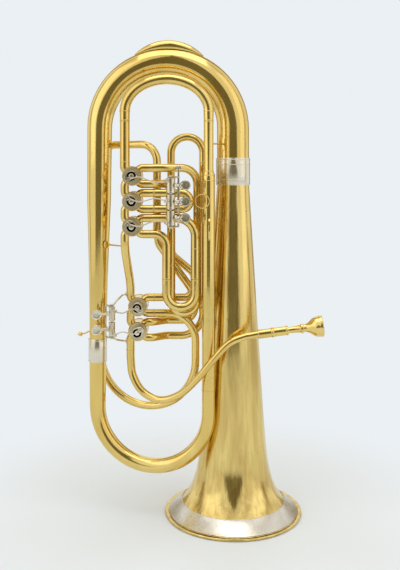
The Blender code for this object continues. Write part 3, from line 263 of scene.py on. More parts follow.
def smooth_route(points, steps):
    """A Catmull-Rom curve through the points."""
    points = [Vector(p) for p in points]
    padded = [points[0] * 2 - points[1]] + points + [points[-1] * 2 - points[-2]]
    route = []
    for a, b, c, d in zip(padded, padded[1:], padded[2:], padded[3:]):
        for step in range(steps):
            t = step / steps
            route.append(
                0.5 * (2 * b + (c - a) * t + (2 * a - 5 * b + 4 * c - d) * t ** 2
                       + (3 * b - a - 3 * c + d) * t ** 3)
            )
    route.append(points[-1])
    return route


def route_frames(route):
    """Tangent and two cross directions at each point, carried along without twist."""
    tangents = []
    for index, here in enumerate(route):
        forward = Vector()
        back = Vector()
        if index < len(route) - 1:
            forward = (route[index + 1] - here).normalized()
        if index > 0:
            back = (here - route[index - 1]).normalized()
        tangents.append((forward + back).normalized())
    seed = Vector((0, 1, 0)) if abs(tangents[0].y) < 0.9 else Vector((1, 0, 0))
    side = (seed - tangents[0] * seed.dot(tangents[0])).normalized()
    frames = []
    for tangent in tangents:
        side = (side - tangent * side.dot(tangent)).normalized()
        frames.append((tangent, side, tangent.cross(side)))
    return frames


def ring(builder, centre, side, other, radius, sides):
    verts = []
    for index in range(sides):
        angle = 2 * math.pi * (index + 0.5) / sides
        verts.append(builder.verts.new(centre + (side * math.cos(angle) + other * math.sin(angle)) * radius))
    return verts


def bridge(builder, first, second):
    count = len(first)
    for index in range(count):
        after = (index + 1) % count
        builder.faces.new((first[index], first[after], second[after], second[index]))


def add_tube(builder, stations, sides=TUBE_SIDES, hollow=(False, False)):
    """A round skin along (point, radius) stations; a hollow end opens into a short bore."""
    route = [Vector(point) for point, _ in stations]
    frames = route_frames(route)
    rings = []
    for (_, radius), point, (_, side, other) in zip(stations, route, frames):
        rings.append(ring(builder, point, side, other, radius, sides))
    for a, b in zip(rings, rings[1:]):
        bridge(builder, a, b)
    for index, inward, is_hollow in ((0, 1, hollow[0]), (-1, -1, hollow[1])):
        last = rings[index]
        if is_hollow:
            tangent, side, other = frames[index]
            bore = stations[index][1] - TUBE_WALL
            for depth in (0.0, BORE_DEPTH):
                here = ring(builder, route[index] + tangent * inward * depth, side, other, bore, sides)
                bridge(builder, last, here)
                last = here
        builder.faces.new(last)


def add_pipe(builder, route, radius, sides=TUBE_SIDES, hollow=(False, False)):
    """A tube of one radius, or of a radius that depends on the share of its length."""
    route = [Vector(point) for point in route]
    lengths = [0.0]
    for a, b in zip(route, route[1:]):
        lengths.append(lengths[-1] + (b - a).length)
    sizes = [radius(length / lengths[-1]) if callable(radius) else radius for length in lengths]
    add_tube(builder, list(zip(route, sizes)), sides, hollow)


def add_turned(builder, profile, centre, axis, sides=TUBE_SIDES, closed=True):
    """Turns a (distance along axis, radius) outline; closed joins its last point to its first."""
    axis = Vector(axis).normalized()
    centre = Vector(centre)
    seed = Vector((0, 0, 1)) if abs(axis.z) < 0.9 else Vector((1, 0, 0))
    side = (seed - axis * seed.dot(axis)).normalized()
    other = axis.cross(side)
    rings = [ring(builder, centre + axis * along, side, other, max(radius, 0.02), sides)
             for along, radius in profile]
    for a, b in zip(rings, rings[1:]):
        bridge(builder, a, b)
    if closed:
        bridge(builder, rings[-1], rings[0])
    else:
        builder.faces.new(rings[0])
        builder.faces.new(rings[-1])


def add_bead(builder, centre, axis, radius, thickness, sides=TUBE_SIDES):
    """A half-round ring line that stands out of a tube."""
    profile = []
    for step in range(7):
        angle = math.pi * step / 6
        profile.append((-thickness * math.cos(angle), radius + thickness * 0.8 * math.sin(angle)))
    profile.append((0.0, radius - 0.6))
    add_turned(builder, profile, centre, axis, sides)


def add_box(builder, low, high, bevel=0.4):
    """A block with softened edges."""
    low = Vector(low)
    high = Vector(high)
    made = bmesh.ops.create_cube(builder, size=1.0)["verts"]
    bmesh.ops.scale(builder, verts=made, vec=high - low)
    bmesh.ops.translate(builder, verts=made, vec=(low + high) / 2)
    if bevel:
        edges = list({edge for vert in made for edge in vert.link_edges})
        bmesh.ops.bevel(builder, geom=edges, offset=bevel, segments=2, affect="EDGES", profile=0.5)


def add_link(tree, source, target):
    tree.links.new(source, target)


def noise(tree, coordinate, scale, detail=4.0, roughness=0.55, distortion=0.0):
    """Noise value from 0 to 1 at the given coordinate."""
    node = tree.nodes.new("ShaderNodeTexNoise")
    node.inputs["Scale"].default_value = scale
    node.inputs["Detail"].default_value = detail
    node.inputs["Roughness"].default_value = roughness
    node.inputs["Distortion"].default_value = distortion
    add_link(tree, coordinate, node.inputs["Vector"])
    return node.outputs["Fac"]


def calculate(tree, operation, *values):
    """One arithmetic step on numbers or sockets."""
    node = tree.nodes.new("ShaderNodeMath")
    node.operation = operation
    for value, socket in zip(values, node.inputs):
        if isinstance(value, bpy.types.NodeSocket):
            add_link(tree, value, socket)
        else:
            socket.default_value = value
    return node.outputs[0]


def stretched(tree, coordinate, scale):
    """The coordinate scaled along each axis, which draws a pattern out into streaks."""
    node = tree.nodes.new("ShaderNodeMapping")
    node.inputs["Scale"].default_value = scale
    add_link(tree, coordinate, node.inputs["Vector"])
    return node.outputs["Vector"]


def steps(tree, value, *stops):
    """A colour ramp of (position, grey or colour) stops."""
    node = tree.nodes.new("ShaderNodeValToRGB")
    ramp = node.color_ramp
    while len(ramp.elements) < len(stops):
        ramp.elements.new(0.5)
    for element, (position, colour) in zip(ramp.elements, stops):
        element.position = position
        element.color = (colour, colour, colour, 1.0) if isinstance(colour, float) else (*colour, 1.0)
    add_link(tree, value, node.inputs["Fac"])
    return node.outputs["Color"]


def mixed(tree, share, first, second):
    """Mixes two colours by a share from 0 to 1."""
    node = tree.nodes.new("ShaderNodeMix")
    node.data_type = "RGBA"
    for value, socket in ((share, node.inputs["Factor"]), (first, node.inputs["A"]), (second, node.inputs["B"])):
        if isinstance(value, bpy.types.NodeSocket):
            add_link(tree, value, socket)
        elif isinstance(value, tuple):
            socket.default_value = (*value, 1.0)
        else:
            socket.default_value = value
    return node.outputs["Result"]


def bumped(tree, height, strength, distance):
    node = tree.nodes.new("ShaderNodeBump")
    node.inputs["Strength"].default_value = strength
    node.inputs["Distance"].default_value = distance
    add_link(tree, height, node.inputs["Height"])
    return node.outputs["Normal"]


def metal_finish(name, clean, aged, spots, rough=(0.12, 0.3), streak=(1.0, 1.0, 1.0), spot_share=0.62):
    """Old metal: clean and aged patches, small dark spots, fine lines and uneven gloss."""
    finish = bpy.data.materials.new(name)
    finish.use_nodes = True
    tree = finish.node_tree
    shader = tree.nodes["Principled BSDF"]
    shader.inputs["Metallic"].default_value = 1.0
    coordinate = tree.nodes.new("ShaderNodeTexCoord").outputs["Object"]
    drawn_out = stretched(tree, coordinate, streak)
    patches = steps(tree, noise(tree, drawn_out, 14.0, 5.0, 0.6, 0.4), (0.38, 0.0), (0.66, 1.0))
    colour = mixed(tree, patches, clean, aged)
    specks = steps(tree, noise(tree, coordinate, 230.0, 3.0, 0.6), (spot_share, 0.0), (spot_share + 0.1, 1.0))
    blotches = steps(tree, noise(tree, coordinate, 26.0, 4.0, 0.6), (0.52, 0.0), (0.7, 1.0))
    speckled = calculate(tree, "MULTIPLY", specks, blotches)
    add_link(tree, mixed(tree, speckled, colour, spots), shader.inputs["Base Color"])
    gloss = steps(tree, noise(tree, drawn_out, 55.0, 5.0, 0.65), (0.3, rough[0]), (0.75, rough[1]))
    add_link(tree, gloss, shader.inputs["Roughness"])
    waves = noise(tree, drawn_out, 38.0, 2.0, 0.5)
    grain = noise(tree, drawn_out, 900.0, 2.0, 0.5)
    total = mixed(tree, 0.12, waves, grain)
    add_link(tree, bumped(tree, total, 0.22, 0.0012), shader.inputs["Normal"])
    return finish


BRASS = metal_finish("aged_brass", (0.85, 0.65, 0.23), (0.74, 0.52, 0.15), (0.2, 0.12, 0.04), (0.06, 0.16),
                     (1.0, 1.0, 0.25))
BELL_BRASS = metal_finish("bell_brass", (0.84, 0.65, 0.24), (0.6, 0.41, 0.13), (0.24, 0.14, 0.05),
                          (0.07, 0.18), (4.5, 4.5, 0.3))
NICKEL = metal_finish("old_nickel", (0.8, 0.75, 0.62), (0.66, 0.58, 0.42), (0.25, 0.2, 0.14), (0.14, 0.3))
GARLAND = metal_finish("garland_nickel", (0.8, 0.78, 0.71), (0.66, 0.6, 0.5), (0.35, 0.27, 0.16),
                       (0.18, 0.4), (1.0, 1.0, 1.0), 0.56)
VALVE_NICKEL = metal_finish("valve_nickel", (0.8, 0.69, 0.45), (0.62, 0.5, 0.29), (0.22, 0.16, 0.09),
                            (0.34, 0.5))
STEEL = metal_finish("spring_steel", (0.36, 0.37, 0.39), (0.25, 0.24, 0.24), (0.12, 0.09, 0.07), (0.25, 0.45))


def dress_frame():
    """Gives each carried-over CAD node its finish."""
    for name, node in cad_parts.items():
        first = node.material_slots[0].material.name if node.material_slots else "lacquered_brass"
        finish = NICKEL if "nickel" in first else STEEL if "steel" in first else BRASS
        if name == "bell":
            finish = BELL_BRASS
        if name == "bell_garland":
            finish = GARLAND
        for slot in node.material_slots:
            slot.material = finish


def make_world():
    """A white tent that opens in front on a dark room, which only the metal sees."""
    world = bpy.data.worlds.new("studio")
    bpy.context.scene.world = world
    world.use_nodes = True
    tree = world.node_tree
    background = tree.nodes["Background"]
    direction = tree.nodes.new("ShaderNodeTexCoord").outputs["Generated"]
    split = tree.nodes.new("ShaderNodeSeparateXYZ")
    add_link(tree, direction, split.inputs["Vector"])
    forward = calculate(tree, "MULTIPLY", split.outputs["Y"], -1.0)
    azimuth = calculate(tree, "ARCTAN2", split.outputs["X"], forward)
    climb = calculate(tree, "MAXIMUM", split.outputs["Z"], 0.0)
    narrowing = calculate(tree, "MAXIMUM", calculate(tree, "MULTIPLY_ADD", climb, -1.25, 1.0), 0.02)
    turn = calculate(tree, "MULTIPLY_ADD", calculate(tree, "DIVIDE", azimuth, narrowing), 0.5 / math.pi, 0.5)
    edge = 0.006
    start = 0.5 + DARK_FROM / 360.0
    end = 0.5 + DARK_TO / 360.0
    gap = steps(tree, turn, (0.0, 0.0), (start - edge, 0.0), (start + edge, 1.0), (end - edge, 1.0),
                (end + edge, 0.0), (1.0, 0.0))
    around = calculate(tree, "MULTIPLY_ADD", azimuth, 0.5 / math.pi, 0.5)
    stops = [(0.0, WHITE_TENT)]
    for low, high in TENT_FOLDS:
        for degrees, colour in ((low - 3, WHITE_TENT), (low, FOLD_SHADE), (high, FOLD_SHADE), (high + 3, WHITE_TENT)):
            stops.append((0.5 + degrees / 360.0, colour))
    tent = steps(tree, around, *stops, (1.0, WHITE_TENT))
    room = mixed(tree, gap, tent, DARK_ROOM)
    path = tree.nodes.new("ShaderNodeLightPath")
    add_link(tree, mixed(tree, path.outputs["Is Camera Ray"], room, BACKDROP_COLOUR), background.inputs["Color"])
    background.inputs["Strength"].default_value = 1.0


def make_lamp(name, place_mm, aim_mm, size, power, colour=(1.0, 1.0, 1.0)):
    lamp = bpy.data.lights.new(name, "AREA")
    lamp.shape = "RECTANGLE"
    lamp.size = size[0]
    lamp.size_y = size[1]
    lamp.energy = power
    lamp.color = colour
    holder = bpy.data.objects.new(name, lamp)
    start = Vector(place_mm) * MM
    holder.location = start
    holder.rotation_euler = (Vector(aim_mm) * MM - start).to_track_quat("-Z", "Y").to_euler()
    bpy.context.collection.objects.link(holder)


def make_floor():
    """A pale floor that the camera sees only round the instrument's foot."""
    builder = bmesh.new()
    bmesh.ops.create_circle(builder, cap_ends=True, segments=96, radius=3.0)
    bmesh.ops.translate(builder, verts=builder.verts, vec=(ORIGIN.x, ORIGIN.y, -0.0005))
    mesh = bpy.data.meshes.new("floor")
    builder.to_mesh(mesh)
    builder.free()
    mesh.materials.append(floor_finish())
    floor = bpy.data.objects.new("floor", mesh)
    bpy.context.collection.objects.link(floor)


def floor_finish():
    """A pale matt floor that fades, for the camera alone, into the backdrop's colour."""
    finish = bpy.data.materials.new("floor")
    finish.use_nodes = True
    tree = finish.node_tree
    shader = tree.nodes["Principled BSDF"]
    shader.inputs["Base Color"].default_value = (*BACKDROP_COLOUR, 1.0)
    shader.inputs["Roughness"].default_value = 0.9
    coordinate = tree.nodes.new("ShaderNodeTexCoord").outputs["Object"]
    length = tree.nodes.new("ShaderNodeVectorMath")
    length.operation = "LENGTH"
    add_link(tree, coordinate, length.inputs[0])
    fade = tree.nodes.new("ShaderNodeMapRange")
    fade.interpolation_type = "SMOOTHSTEP"
    fade.inputs["From Min"].default_value = FLOOR_CLEAR
    fade.inputs["From Max"].default_value = FLOOR_FADED
    add_link(tree, length.outputs["Value"], fade.inputs["Value"])
    path = tree.nodes.new("ShaderNodeLightPath")
    share = calculate(tree, "MULTIPLY", path.outputs["Is Camera Ray"], fade.outputs["Result"])
    glow = tree.nodes.new("ShaderNodeEmission")
    glow.inputs["Color"].default_value = (*BACKDROP_COLOUR, 1.0)
    blend = tree.nodes.new("ShaderNodeMixShader")
    add_link(tree, share, blend.inputs["Fac"])
    add_link(tree, shader.outputs["BSDF"], blend.inputs[1])
    add_link(tree, glow.outputs["Emission"], blend.inputs[2])
    add_link(tree, blend.outputs["Shader"], tree.nodes["Material Output"].inputs["Surface"])
    return finish


def make_camera():
    """The photograph's view: level, with the horizon where the frame's shift puts it."""
    camera = bpy.data.cameras.new("camera")
    camera.sensor_width = 36.0
    camera.lens = PHOTO_FOCAL_PIXELS / PHOTO_HEIGHT * camera.sensor_width
    camera.shift_y = -(PHOTO_HEIGHT / 2 - PHOTO_HORIZON_PIXEL) / PHOTO_HEIGHT
    holder = bpy.data.objects.new("camera", camera)
    holder.location = ((CAMERA_X + ORIGIN.x / MM) * MM, -CAMERA_DISTANCE * MM, CAMERA_HEIGHT * MM)
    holder.rotation_euler = (math.pi / 2, 0.0, 0.0)
    bpy.context.collection.objects.link(holder)
    bpy.context.scene.camera = holder


def bell_radius(z):
    """Outer radius of the bell: a slow cone with an exponential flare at its rim."""
    cone = BELL_RADIUS_AT_FERRULE + BELL_TAPER * (BELL_FERRULE_BOTTOM - z)
    return cone + BELL_FLARE * math.exp(-z / BELL_FLARE_HEIGHT)


def bell_heights():
    """Heights that crowd together towards the rim, where the flare turns fastest."""
    count = 48
    low = RIM_WIRE_RADIUS * 1.6
    return [low + (BELL_TOP - low) * (step / count) ** 2.4 for step in range(count + 1)]


def make_bell():
    heights = bell_heights()
    outside = [(z, bell_radius(z)) for z in reversed(heights)]
    wire_centre = bell_radius(RIM_WIRE_RADIUS) + RIM_WIRE_RADIUS * 0.6
    wire = []
    for degrees in range(60, -180, -20):
        angle = math.radians(degrees)
        z = RIM_WIRE_RADIUS + RIM_WIRE_RADIUS * math.sin(angle)
        wire.append((z, wire_centre + RIM_WIRE_RADIUS * math.cos(angle)))
    inside = [(z, bell_radius(z) - BELL_WALL - BELL_WALL * 1.2 * math.exp(-z / BELL_FLARE_HEIGHT))
              for z in heights]
    builder = bmesh.new()
    add_turned(builder, outside + wire + inside, (0, 0, 0), (0, 0, 1), BELL_SIDES)
    make_piece("bell_body", builder, BELL_BRASS, nodes=("bell",))


def garland_skin(z, lift):
    slope = BELL_TAPER + BELL_FLARE / BELL_FLARE_HEIGHT * math.exp(-z / BELL_FLARE_HEIGHT)
    return bell_radius(z) + lift * math.hypot(1.0, slope)


def make_garland():
    builder = bmesh.new()
    count = 14
    heights = [GARLAND_FOOT + (GARLAND_TOP - GARLAND_FOOT) * step / count for step in range(count + 1)]
    inner = [(z, garland_skin(z, -0.3)) for z in heights]
    outer = [(z, garland_skin(z, GARLAND_LIFT)) for z in reversed(heights)]
    add_turned(builder, inner + outer, (0, 0, 0), (0, 0, 1), BELL_SIDES)
    add_bead(builder, (0, 0, GARLAND_TOP), (0, 0, 1), garland_skin(GARLAND_TOP, 0.5), 0.8, BELL_SIDES)
    make_piece("garland", builder, GARLAND, nodes=("bell_garland",))


def make_ferrules():
    builder = bmesh.new()
    inner = TOP_BOW_END_RADIUS - 0.5
    outer = BELL_FERRULE_RADIUS
    profile = [(BELL_FERRULE_BOTTOM, inner), (BELL_FERRULE_BOTTOM, outer - 0.4), (BELL_FERRULE_BOTTOM + 0.8, outer),
               (BELL_FERRULE_TOP - 0.8, outer), (BELL_FERRULE_TOP, outer - 0.4), (BELL_FERRULE_TOP, inner)]
    add_turned(builder, profile, (0, 0, 0), (0, 0, 1), BOW_SIDES)
    for z in BELL_FERRULE_BEADS:
        add_bead(builder, (0, 0, z), (0, 0, 1), outer, 0.75, BOW_SIDES)
    make_piece("bell_ferrule_sleeve", builder, NICKEL, nodes=("bell_ferrule",))
    builder = bmesh.new()
    centre = (-2 * TOP_BOW_RADIUS - LEFT_BRANCH_LEAN, 0, 0)
    inner = BOTTOM_BOW_LEFT_RADIUS - 0.5
    outer = BOW_FERRULE_RADIUS
    profile = [(BOW_FERRULE_BOTTOM, inner), (BOW_FERRULE_BOTTOM, outer - 0.3), (BOW_FERRULE_BOTTOM + 0.6, outer),
               (BOW_FERRULE_TOP - 0.6, outer), (BOW_FERRULE_TOP, outer - 0.3), (BOW_FERRULE_TOP, inner)]
    add_turned(builder, profile, centre, (0, 0, 1), BOW_SIDES)
    for z in (BOW_FERRULE_BOTTOM + 2.2, BOW_FERRULE_TOP - 2.2):
        add_bead(builder, Vector(centre) + Vector((0, 0, z)), (0, 0, 1), outer, 0.5, BOW_SIDES)
    make_piece("bottom_bow_ferrule_sleeve", builder, NICKEL, nodes=("bottom_bow_ferrule",))


def top_bow_radius(degrees):
    """Outer radius of the bow, from the bell's side at 0 degrees to the left at 180."""
    return TOP_BOW_END_RADIUS + (TOP_BOW_LEFT_RADIUS - TOP_BOW_END_RADIUS) * degrees / 180.0


def left_branch_x(z):
    share = (TOP_BOW_CENTRE_Z - z) / (TOP_BOW_CENTRE_Z - BOW_FERRULE_BOTTOM)
    return -2 * TOP_BOW_RADIUS - LEFT_BRANCH_LEAN * share


def top_bow_stations():
    """Places and radii from the bell ferrule round the bow and down the left branch."""
    stations = [((0.0, 0.0, BELL_TOP), TOP_BOW_END_RADIUS)]
    for step in range(BOW_STEPS + 1):
        degrees = 180.0 * step / BOW_STEPS
        angle = math.radians(degrees)
        spot = (-TOP_BOW_RADIUS * (1 - math.cos(angle)), 0.0,
                TOP_BOW_CENTRE_Z + TOP_BOW_RADIUS * math.sin(angle))
        stations.append((spot, top_bow_radius(degrees)))
    for z, radius in LEFT_BRANCH_TAPER:
        stations.append(((left_branch_x(z), 0.0, z), radius))
    return stations


def make_top_bow():
    builder = bmesh.new()
    add_tube(builder, top_bow_stations(), BOW_SIDES)
    hook_z = BOW_FERRULE_TOP + 6.0
    branch_x = -2 * TOP_BOW_RADIUS - LEFT_BRANCH_LEAN
    ball = Vector((branch_x - 34.0, 8.0, hook_z))
    rod = rounded([(branch_x - 12.0, 9.5, hook_z + 8), (branch_x - 26.0, 8.0, hook_z + 1), ball], [8])
    add_pipe(builder, rod, 1.5, 12)
    knob = [(4.4 * math.cos(math.radians(angle)), 4.4 * math.sin(math.radians(angle)))
            for angle in range(180, -1, -15)]
    add_turned(builder, knob, ball, (1, 0, 0), TUBE_SIDES, closed=False)
    add_turned(builder, [(-4.8, 1.5), (-4.8, 2.4), (-3.6, 2.4), (-3.6, 1.5)], ball, (1, 0, 0), TUBE_SIDES)
    make_piece("top_bow_tube", builder, BRASS, nodes=("top_bow",))


def make_bow_guard():
    """A long low arch that saddles the crown of the top bow, a little towards the bell."""
    stations = 33
    wraps = 25
    builder = bmesh.new()
    centre = Vector((-TOP_BOW_RADIUS, 0, TOP_BOW_CENTRE_Z))
    outer = []
    inner = []
    for station in range(stations):
        share = math.sin(math.pi / 2 * (2 * station / (stations - 1) - 1))
        degrees = 90 - GUARD_TILT - GUARD_HALF_ANGLE * share
        radial = Vector((math.cos(math.radians(degrees)), 0, math.sin(math.radians(degrees))))
        tube = top_bow_radius(degrees)
        wrap = math.radians(GUARD_WRAP) * math.sqrt(1 - 0.75 * share ** 2)
        outer_row = []
        inner_row = []
        for step in range(wraps):
            turn = math.pi * (step / (wraps - 1) - 0.5)
            theta = wrap * math.sin(turn)
            out = radial * math.cos(theta) + Vector((0, 1, 0)) * math.sin(theta)
            rise = 1.0 + (GUARD_HEIGHT - 1.0) * (1 - share ** 2) * math.cos(turn)
            axis_point = centre + radial * TOP_BOW_RADIUS
            inner_row.append(builder.verts.new(axis_point + out * (tube - 1.0)))
            outer_row.append(builder.verts.new(axis_point + out * (tube + rise)))
        outer.append(outer_row)
        inner.append(inner_row)
    for a, b, c, d in zip(outer, outer[1:], inner, inner[1:]):
        for step in range(wraps - 1):
            builder.faces.new((a[step], a[step + 1], b[step + 1], b[step]))
            builder.faces.new((c[step], d[step], d[step + 1], c[step + 1]))
        builder.faces.new((a[0], b[0], d[0], c[0]))
        builder.faces.new((a[-1], c[-1], d[-1], b[-1]))
    for outer_row, inner_row in ((outer[0], inner[0]), (outer[-1], inner[-1])):
        for step in range(wraps - 1):
            builder.faces.new((outer_row[step], inner_row[step], inner_row[step + 1], outer_row[step + 1]))
    make_piece("guard_cap", builder, BRASS, nodes=("bow_guard",))


def bottom_bow_route():
    left = -2 * TOP_BOW_RADIUS - LEFT_BRANCH_LEAN
    route = [Vector((left, 0, BOW_FERRULE_BOTTOM + 6))]
    radius = (THIRD_BRANCH_X - left) / 2
    for step in range(BOW_STEPS + 1):
        angle = math.pi * step / BOW_STEPS
        share = step / BOW_STEPS
        route.append(Vector((left + radius - radius * math.cos(angle),
                             FRONT_Y * (3 * share ** 2 - 2 * share ** 3),
                             BOTTOM_BOW_CENTRE_Z - radius * math.sin(angle))))
    route.append(Vector((THIRD_BRANCH_X, FRONT_Y, THIRD_BRANCH_BOTTOM)))
    return route


def make_bottom_bow():
    builder = bmesh.new()
    start = BOTTOM_BOW_LEFT_RADIUS
    change = BOTTOM_BOW_RIGHT_RADIUS - start
    add_pipe(builder, bottom_bow_route(), lambda share: start + change * share, BOW_SIDES)
    make_piece("bottom_bow_tube", builder, BRASS, nodes=("bottom_bow",))


def make_third_branch():
    builder = bmesh.new()
    x = THIRD_BRANCH_X
    top = THIRD_BRANCH_TOP
    big = THIRD_BRANCH_RADIUS
    stations = [(THIRD_BRANCH_BOTTOM, big), (top - 8, big - 0.3), (top + 2, big - 0.3), (top + 9, SLEEVE_RADIUS),
                (SLEEVE_TOP, SLEEVE_RADIUS)]
    add_tube(builder, [((x, FRONT_Y, z), radius) for z, radius in stations], BOW_SIDES, (False, True))
    for z, radius in ((THIRD_BRANCH_BOTTOM + 2, big), (top - 8, big), (top + 1.5, big - 0.2),
                      (top + 9, SLEEVE_RADIUS), (SLEEVE_TOP - 1.0, SLEEVE_RADIUS)):
        add_bead(builder, (x, FRONT_Y, z), (0, 0, 1), radius, 0.7, BOW_SIDES)
    ring_centre = Vector((x + 1, FRONT_Y - big - 7.8, THUMB_RING_Z))
    loop = bmesh.new()
    outline = [(-1.6, 7.2), (-1.6, 8.9), (-1.2, 9.2), (1.2, 9.2), (1.6, 8.9), (1.6, 7.2), (1.2, 7.0), (-1.2, 7.0)]
    add_turned(loop, outline, ring_centre, (1, 0, 0), 48)
    bmesh.ops.scale(loop, vec=(1, 1, 2.2), verts=loop.verts, space=Matrix.Translation((0, 0, -THUMB_RING_Z)))
    join_into(builder, loop)
    stay_z = RIGHT_STAY_Z
    target = Vector((0.0, 0.0, stay_z))
    start = Vector((x + SLEEVE_RADIUS * 0.55, FRONT_Y + SLEEVE_RADIUS * 0.62, stay_z))
    run = (target - start).normalized()
    add_pipe(builder, [start - run, target - run * (TOP_BOW_END_RADIUS - 1)], 1.5, 16)
    add_saddle(builder, target, -run, TOP_BOW_END_RADIUS, 9.0, 13.5)
    add_saddle(builder, Vector((x, FRONT_Y, stay_z)), run, SLEEVE_RADIUS, 4.5, 7.0)
    make_piece("third_branch_tube", builder, BRASS, nodes=("third_branch",))


def join_into(builder, other):
    """Adds the faces of another bmesh to a builder."""
    mesh = bpy.data.meshes.new("joined")
    other.to_mesh(mesh)
    other.free()
    builder.from_mesh(mesh)
    bpy.data.meshes.remove(mesh)


def add_saddle(builder, centre, toward, radius, half_width, half_height, thickness=0.9):
    """An oval flange that lies on an upright tube, on the side that toward points to."""
    toward = Vector((toward.x, toward.y, 0)).normalized()
    across = Vector((0, 0, 1)).cross(toward)
    rings = []
    steps_round = 36
    for share, lift in ((1.0, 0.0), (0.97, thickness), (0.4, thickness + 0.3), (0.0, thickness + 0.35)):
        verts = []
        for index in range(steps_round):
            angle = 2 * math.pi * index / steps_round
            sideways = half_width * share * math.cos(angle)
            turn = sideways / radius
            out = toward * math.cos(turn) + across * math.sin(turn)
            spot = centre + out * (radius + lift) + Vector((0, 0, half_height * share * math.sin(angle)))
            verts.append(builder.verts.new(spot))
        rings.append(verts)
    for a, b in zip(rings, rings[1:]):
        bridge(builder, a, b)
    bmesh.ops.remove_doubles(builder, verts=rings[-1], dist=0.01)


def port_offset():
    """How far a knuckle's tube runs from its valve's axis."""
    return CASING_RADIUS * math.sqrt(0.5) + KNUCKLE_BEND * (1 - math.sqrt(0.5))


def valve_centre(number):
    """Centre of valve 1 to 5: three upper valves, then two lower ones."""
    if number <= 3:
        return Vector((UPPER_VALVE_X, FRONT_Y, UPPER_VALVE_TOP_Z - VALVE_PITCH * (number - 1)))
    return Vector((LOWER_VALVE_X, LOWER_Y, LOWER_VALVE_TOP_Z - VALVE_PITCH * (number - 4)))


def port_start(number, right, up):
    """Two route points: inside the casing wall, and the knuckle's corner."""
    centre = valve_centre(number)
    toward = Vector((right, 0, up))
    return [centre + toward * math.sqrt(0.5) * (CASING_RADIUS - 1.2), centre + toward * port_offset()]


def make_tuning_slide():
    builder = bmesh.new()
    left = UPPER_VALVE_X - port_offset()
    right = THIRD_BRANCH_X
    centre_x = (left + right) / 2
    half = (right - left) / 2
    base = SLEEVE_TOP + 0.4
    stations = [((left, FRONT_Y, base), SLEEVE_RADIUS)]
    for index in range(BOW_STEPS + 1):
        angle = math.pi * index / BOW_STEPS
        point = (centre_x - half * math.cos(angle), FRONT_Y, TUNING_BOW_BASE + TUNING_BOW_RISE * math.sin(angle))
        stations.append((point, TUNING_BOW_RADIUS))
    stations.append(((right, FRONT_Y, base), SLEEVE_RADIUS))
    add_tube(builder, stations, 32)
    for x in (left, right):
        add_tube(builder, [((x, FRONT_Y, base - TUNING_LEG_LENGTH), TUNING_LEG_RADIUS),
                           ((x, FRONT_Y, base + 1), TUNING_LEG_RADIUS)], 32, (True, False))
        add_bead(builder, (x, FRONT_Y, base + 1.0), (0, 0, 1), SLEEVE_RADIUS, 0.7, 32)
        add_bead(builder, (x, FRONT_Y, TUNING_BOW_BASE), (0, 0, 1), TUNING_BOW_RADIUS, 0.7, 32)
    make_piece("tuning_slide_bow", builder, BRASS, "main_tuning_slide", nodes=("main_tuning_slide",))


def make_casing(number):
    """Casing with its turned front plate and the knuckles that are soldered to it."""
    centre = valve_centre(number)
    front = centre - Vector((0, CASING_LENGTH / 2, 0))
    radius = CASING_RADIUS
    builder = bmesh.new()
    profile = [(CASING_LENGTH, 2), (CASING_LENGTH, radius), (4.5, radius), (4.0, radius + 0.8), (0.8, radius + 0.8),
               (PLATE_DEPTH, radius), (PLATE_DEPTH, 2)]
    add_turned(builder, profile, front, (0, 1, 0), 64)
    offset = port_offset()
    if number == 1:
        route = port_start(1, -1, 1) + [(centre.x - offset, FRONT_Y, SLEEVE_TOP)]
        add_pipe(builder, rounded(route, [KNUCKLE_BEND]), SLEEVE_RADIUS, 32, (False, True))
        add_bead(builder, (centre.x - offset, FRONT_Y, SLEEVE_TOP - 1.0), (0, 0, 1), SLEEVE_RADIUS, 0.7, 32)
        add_bead(builder, (centre.x - offset, FRONT_Y, centre.z + 26), (0, 0, 1), SLEEVE_RADIUS, 0.6, 32)
    if number in (1, 2, 4):
        below = port_start(number + 1, -1, 1)
        route = port_start(number, -1, -1) + [below[1], below[0]]
        add_pipe(builder, rounded(route, [KNUCKLE_BEND, KNUCKLE_BEND]), VALVE_TUBE_RADIUS)
    if number == 2:
        for up in (1, -1):
            end = centre + Vector((0, 0, up * offset))
            end.x = SLIDE_2_JOINT_X
            add_pipe(builder, rounded(port_start(2, 1, up) + [end], [KNUCKLE_BEND]), VALVE_TUBE_RADIUS,
                     hollow=(False, True))
            add_bead(builder, end - Vector((1, 0, 0)), (1, 0, 0), VALVE_TUBE_RADIUS, 0.6)
    make_piece(f"casing_{number}", builder, BRASS, nodes=(f"valve_casing_{number}",))
    builder = bmesh.new()
    profile = [(PLATE_DEPTH, radius - 0.1), (0.0, radius - 0.5)]
    for outer, inner in ((15.2, 14.6), (12.6, 12.0), (10.2, 9.6)):
        profile += [(0.0, outer), (0.5, outer - 0.1), (0.5, inner + 0.1), (0.0, inner)]
    profile += [(0.0, 3.3), (6.0, 3.3), (6.0, 2.0), (PLATE_DEPTH, 2.0)]
    add_turned(builder, profile, front, (0, 1, 0), 64)
    make_piece(f"casing_plate_{number}", builder, VALVE_NICKEL)


def crank_direction(number):
    """Where the crank pin rests, seen from the front: valve 1 below its hub, the rest above."""
    if number <= 3:
        return Vector((-1, 0, -1 if number == 1 else 1))
    return Vector((1, 0, -1 if number == 4 else 1))


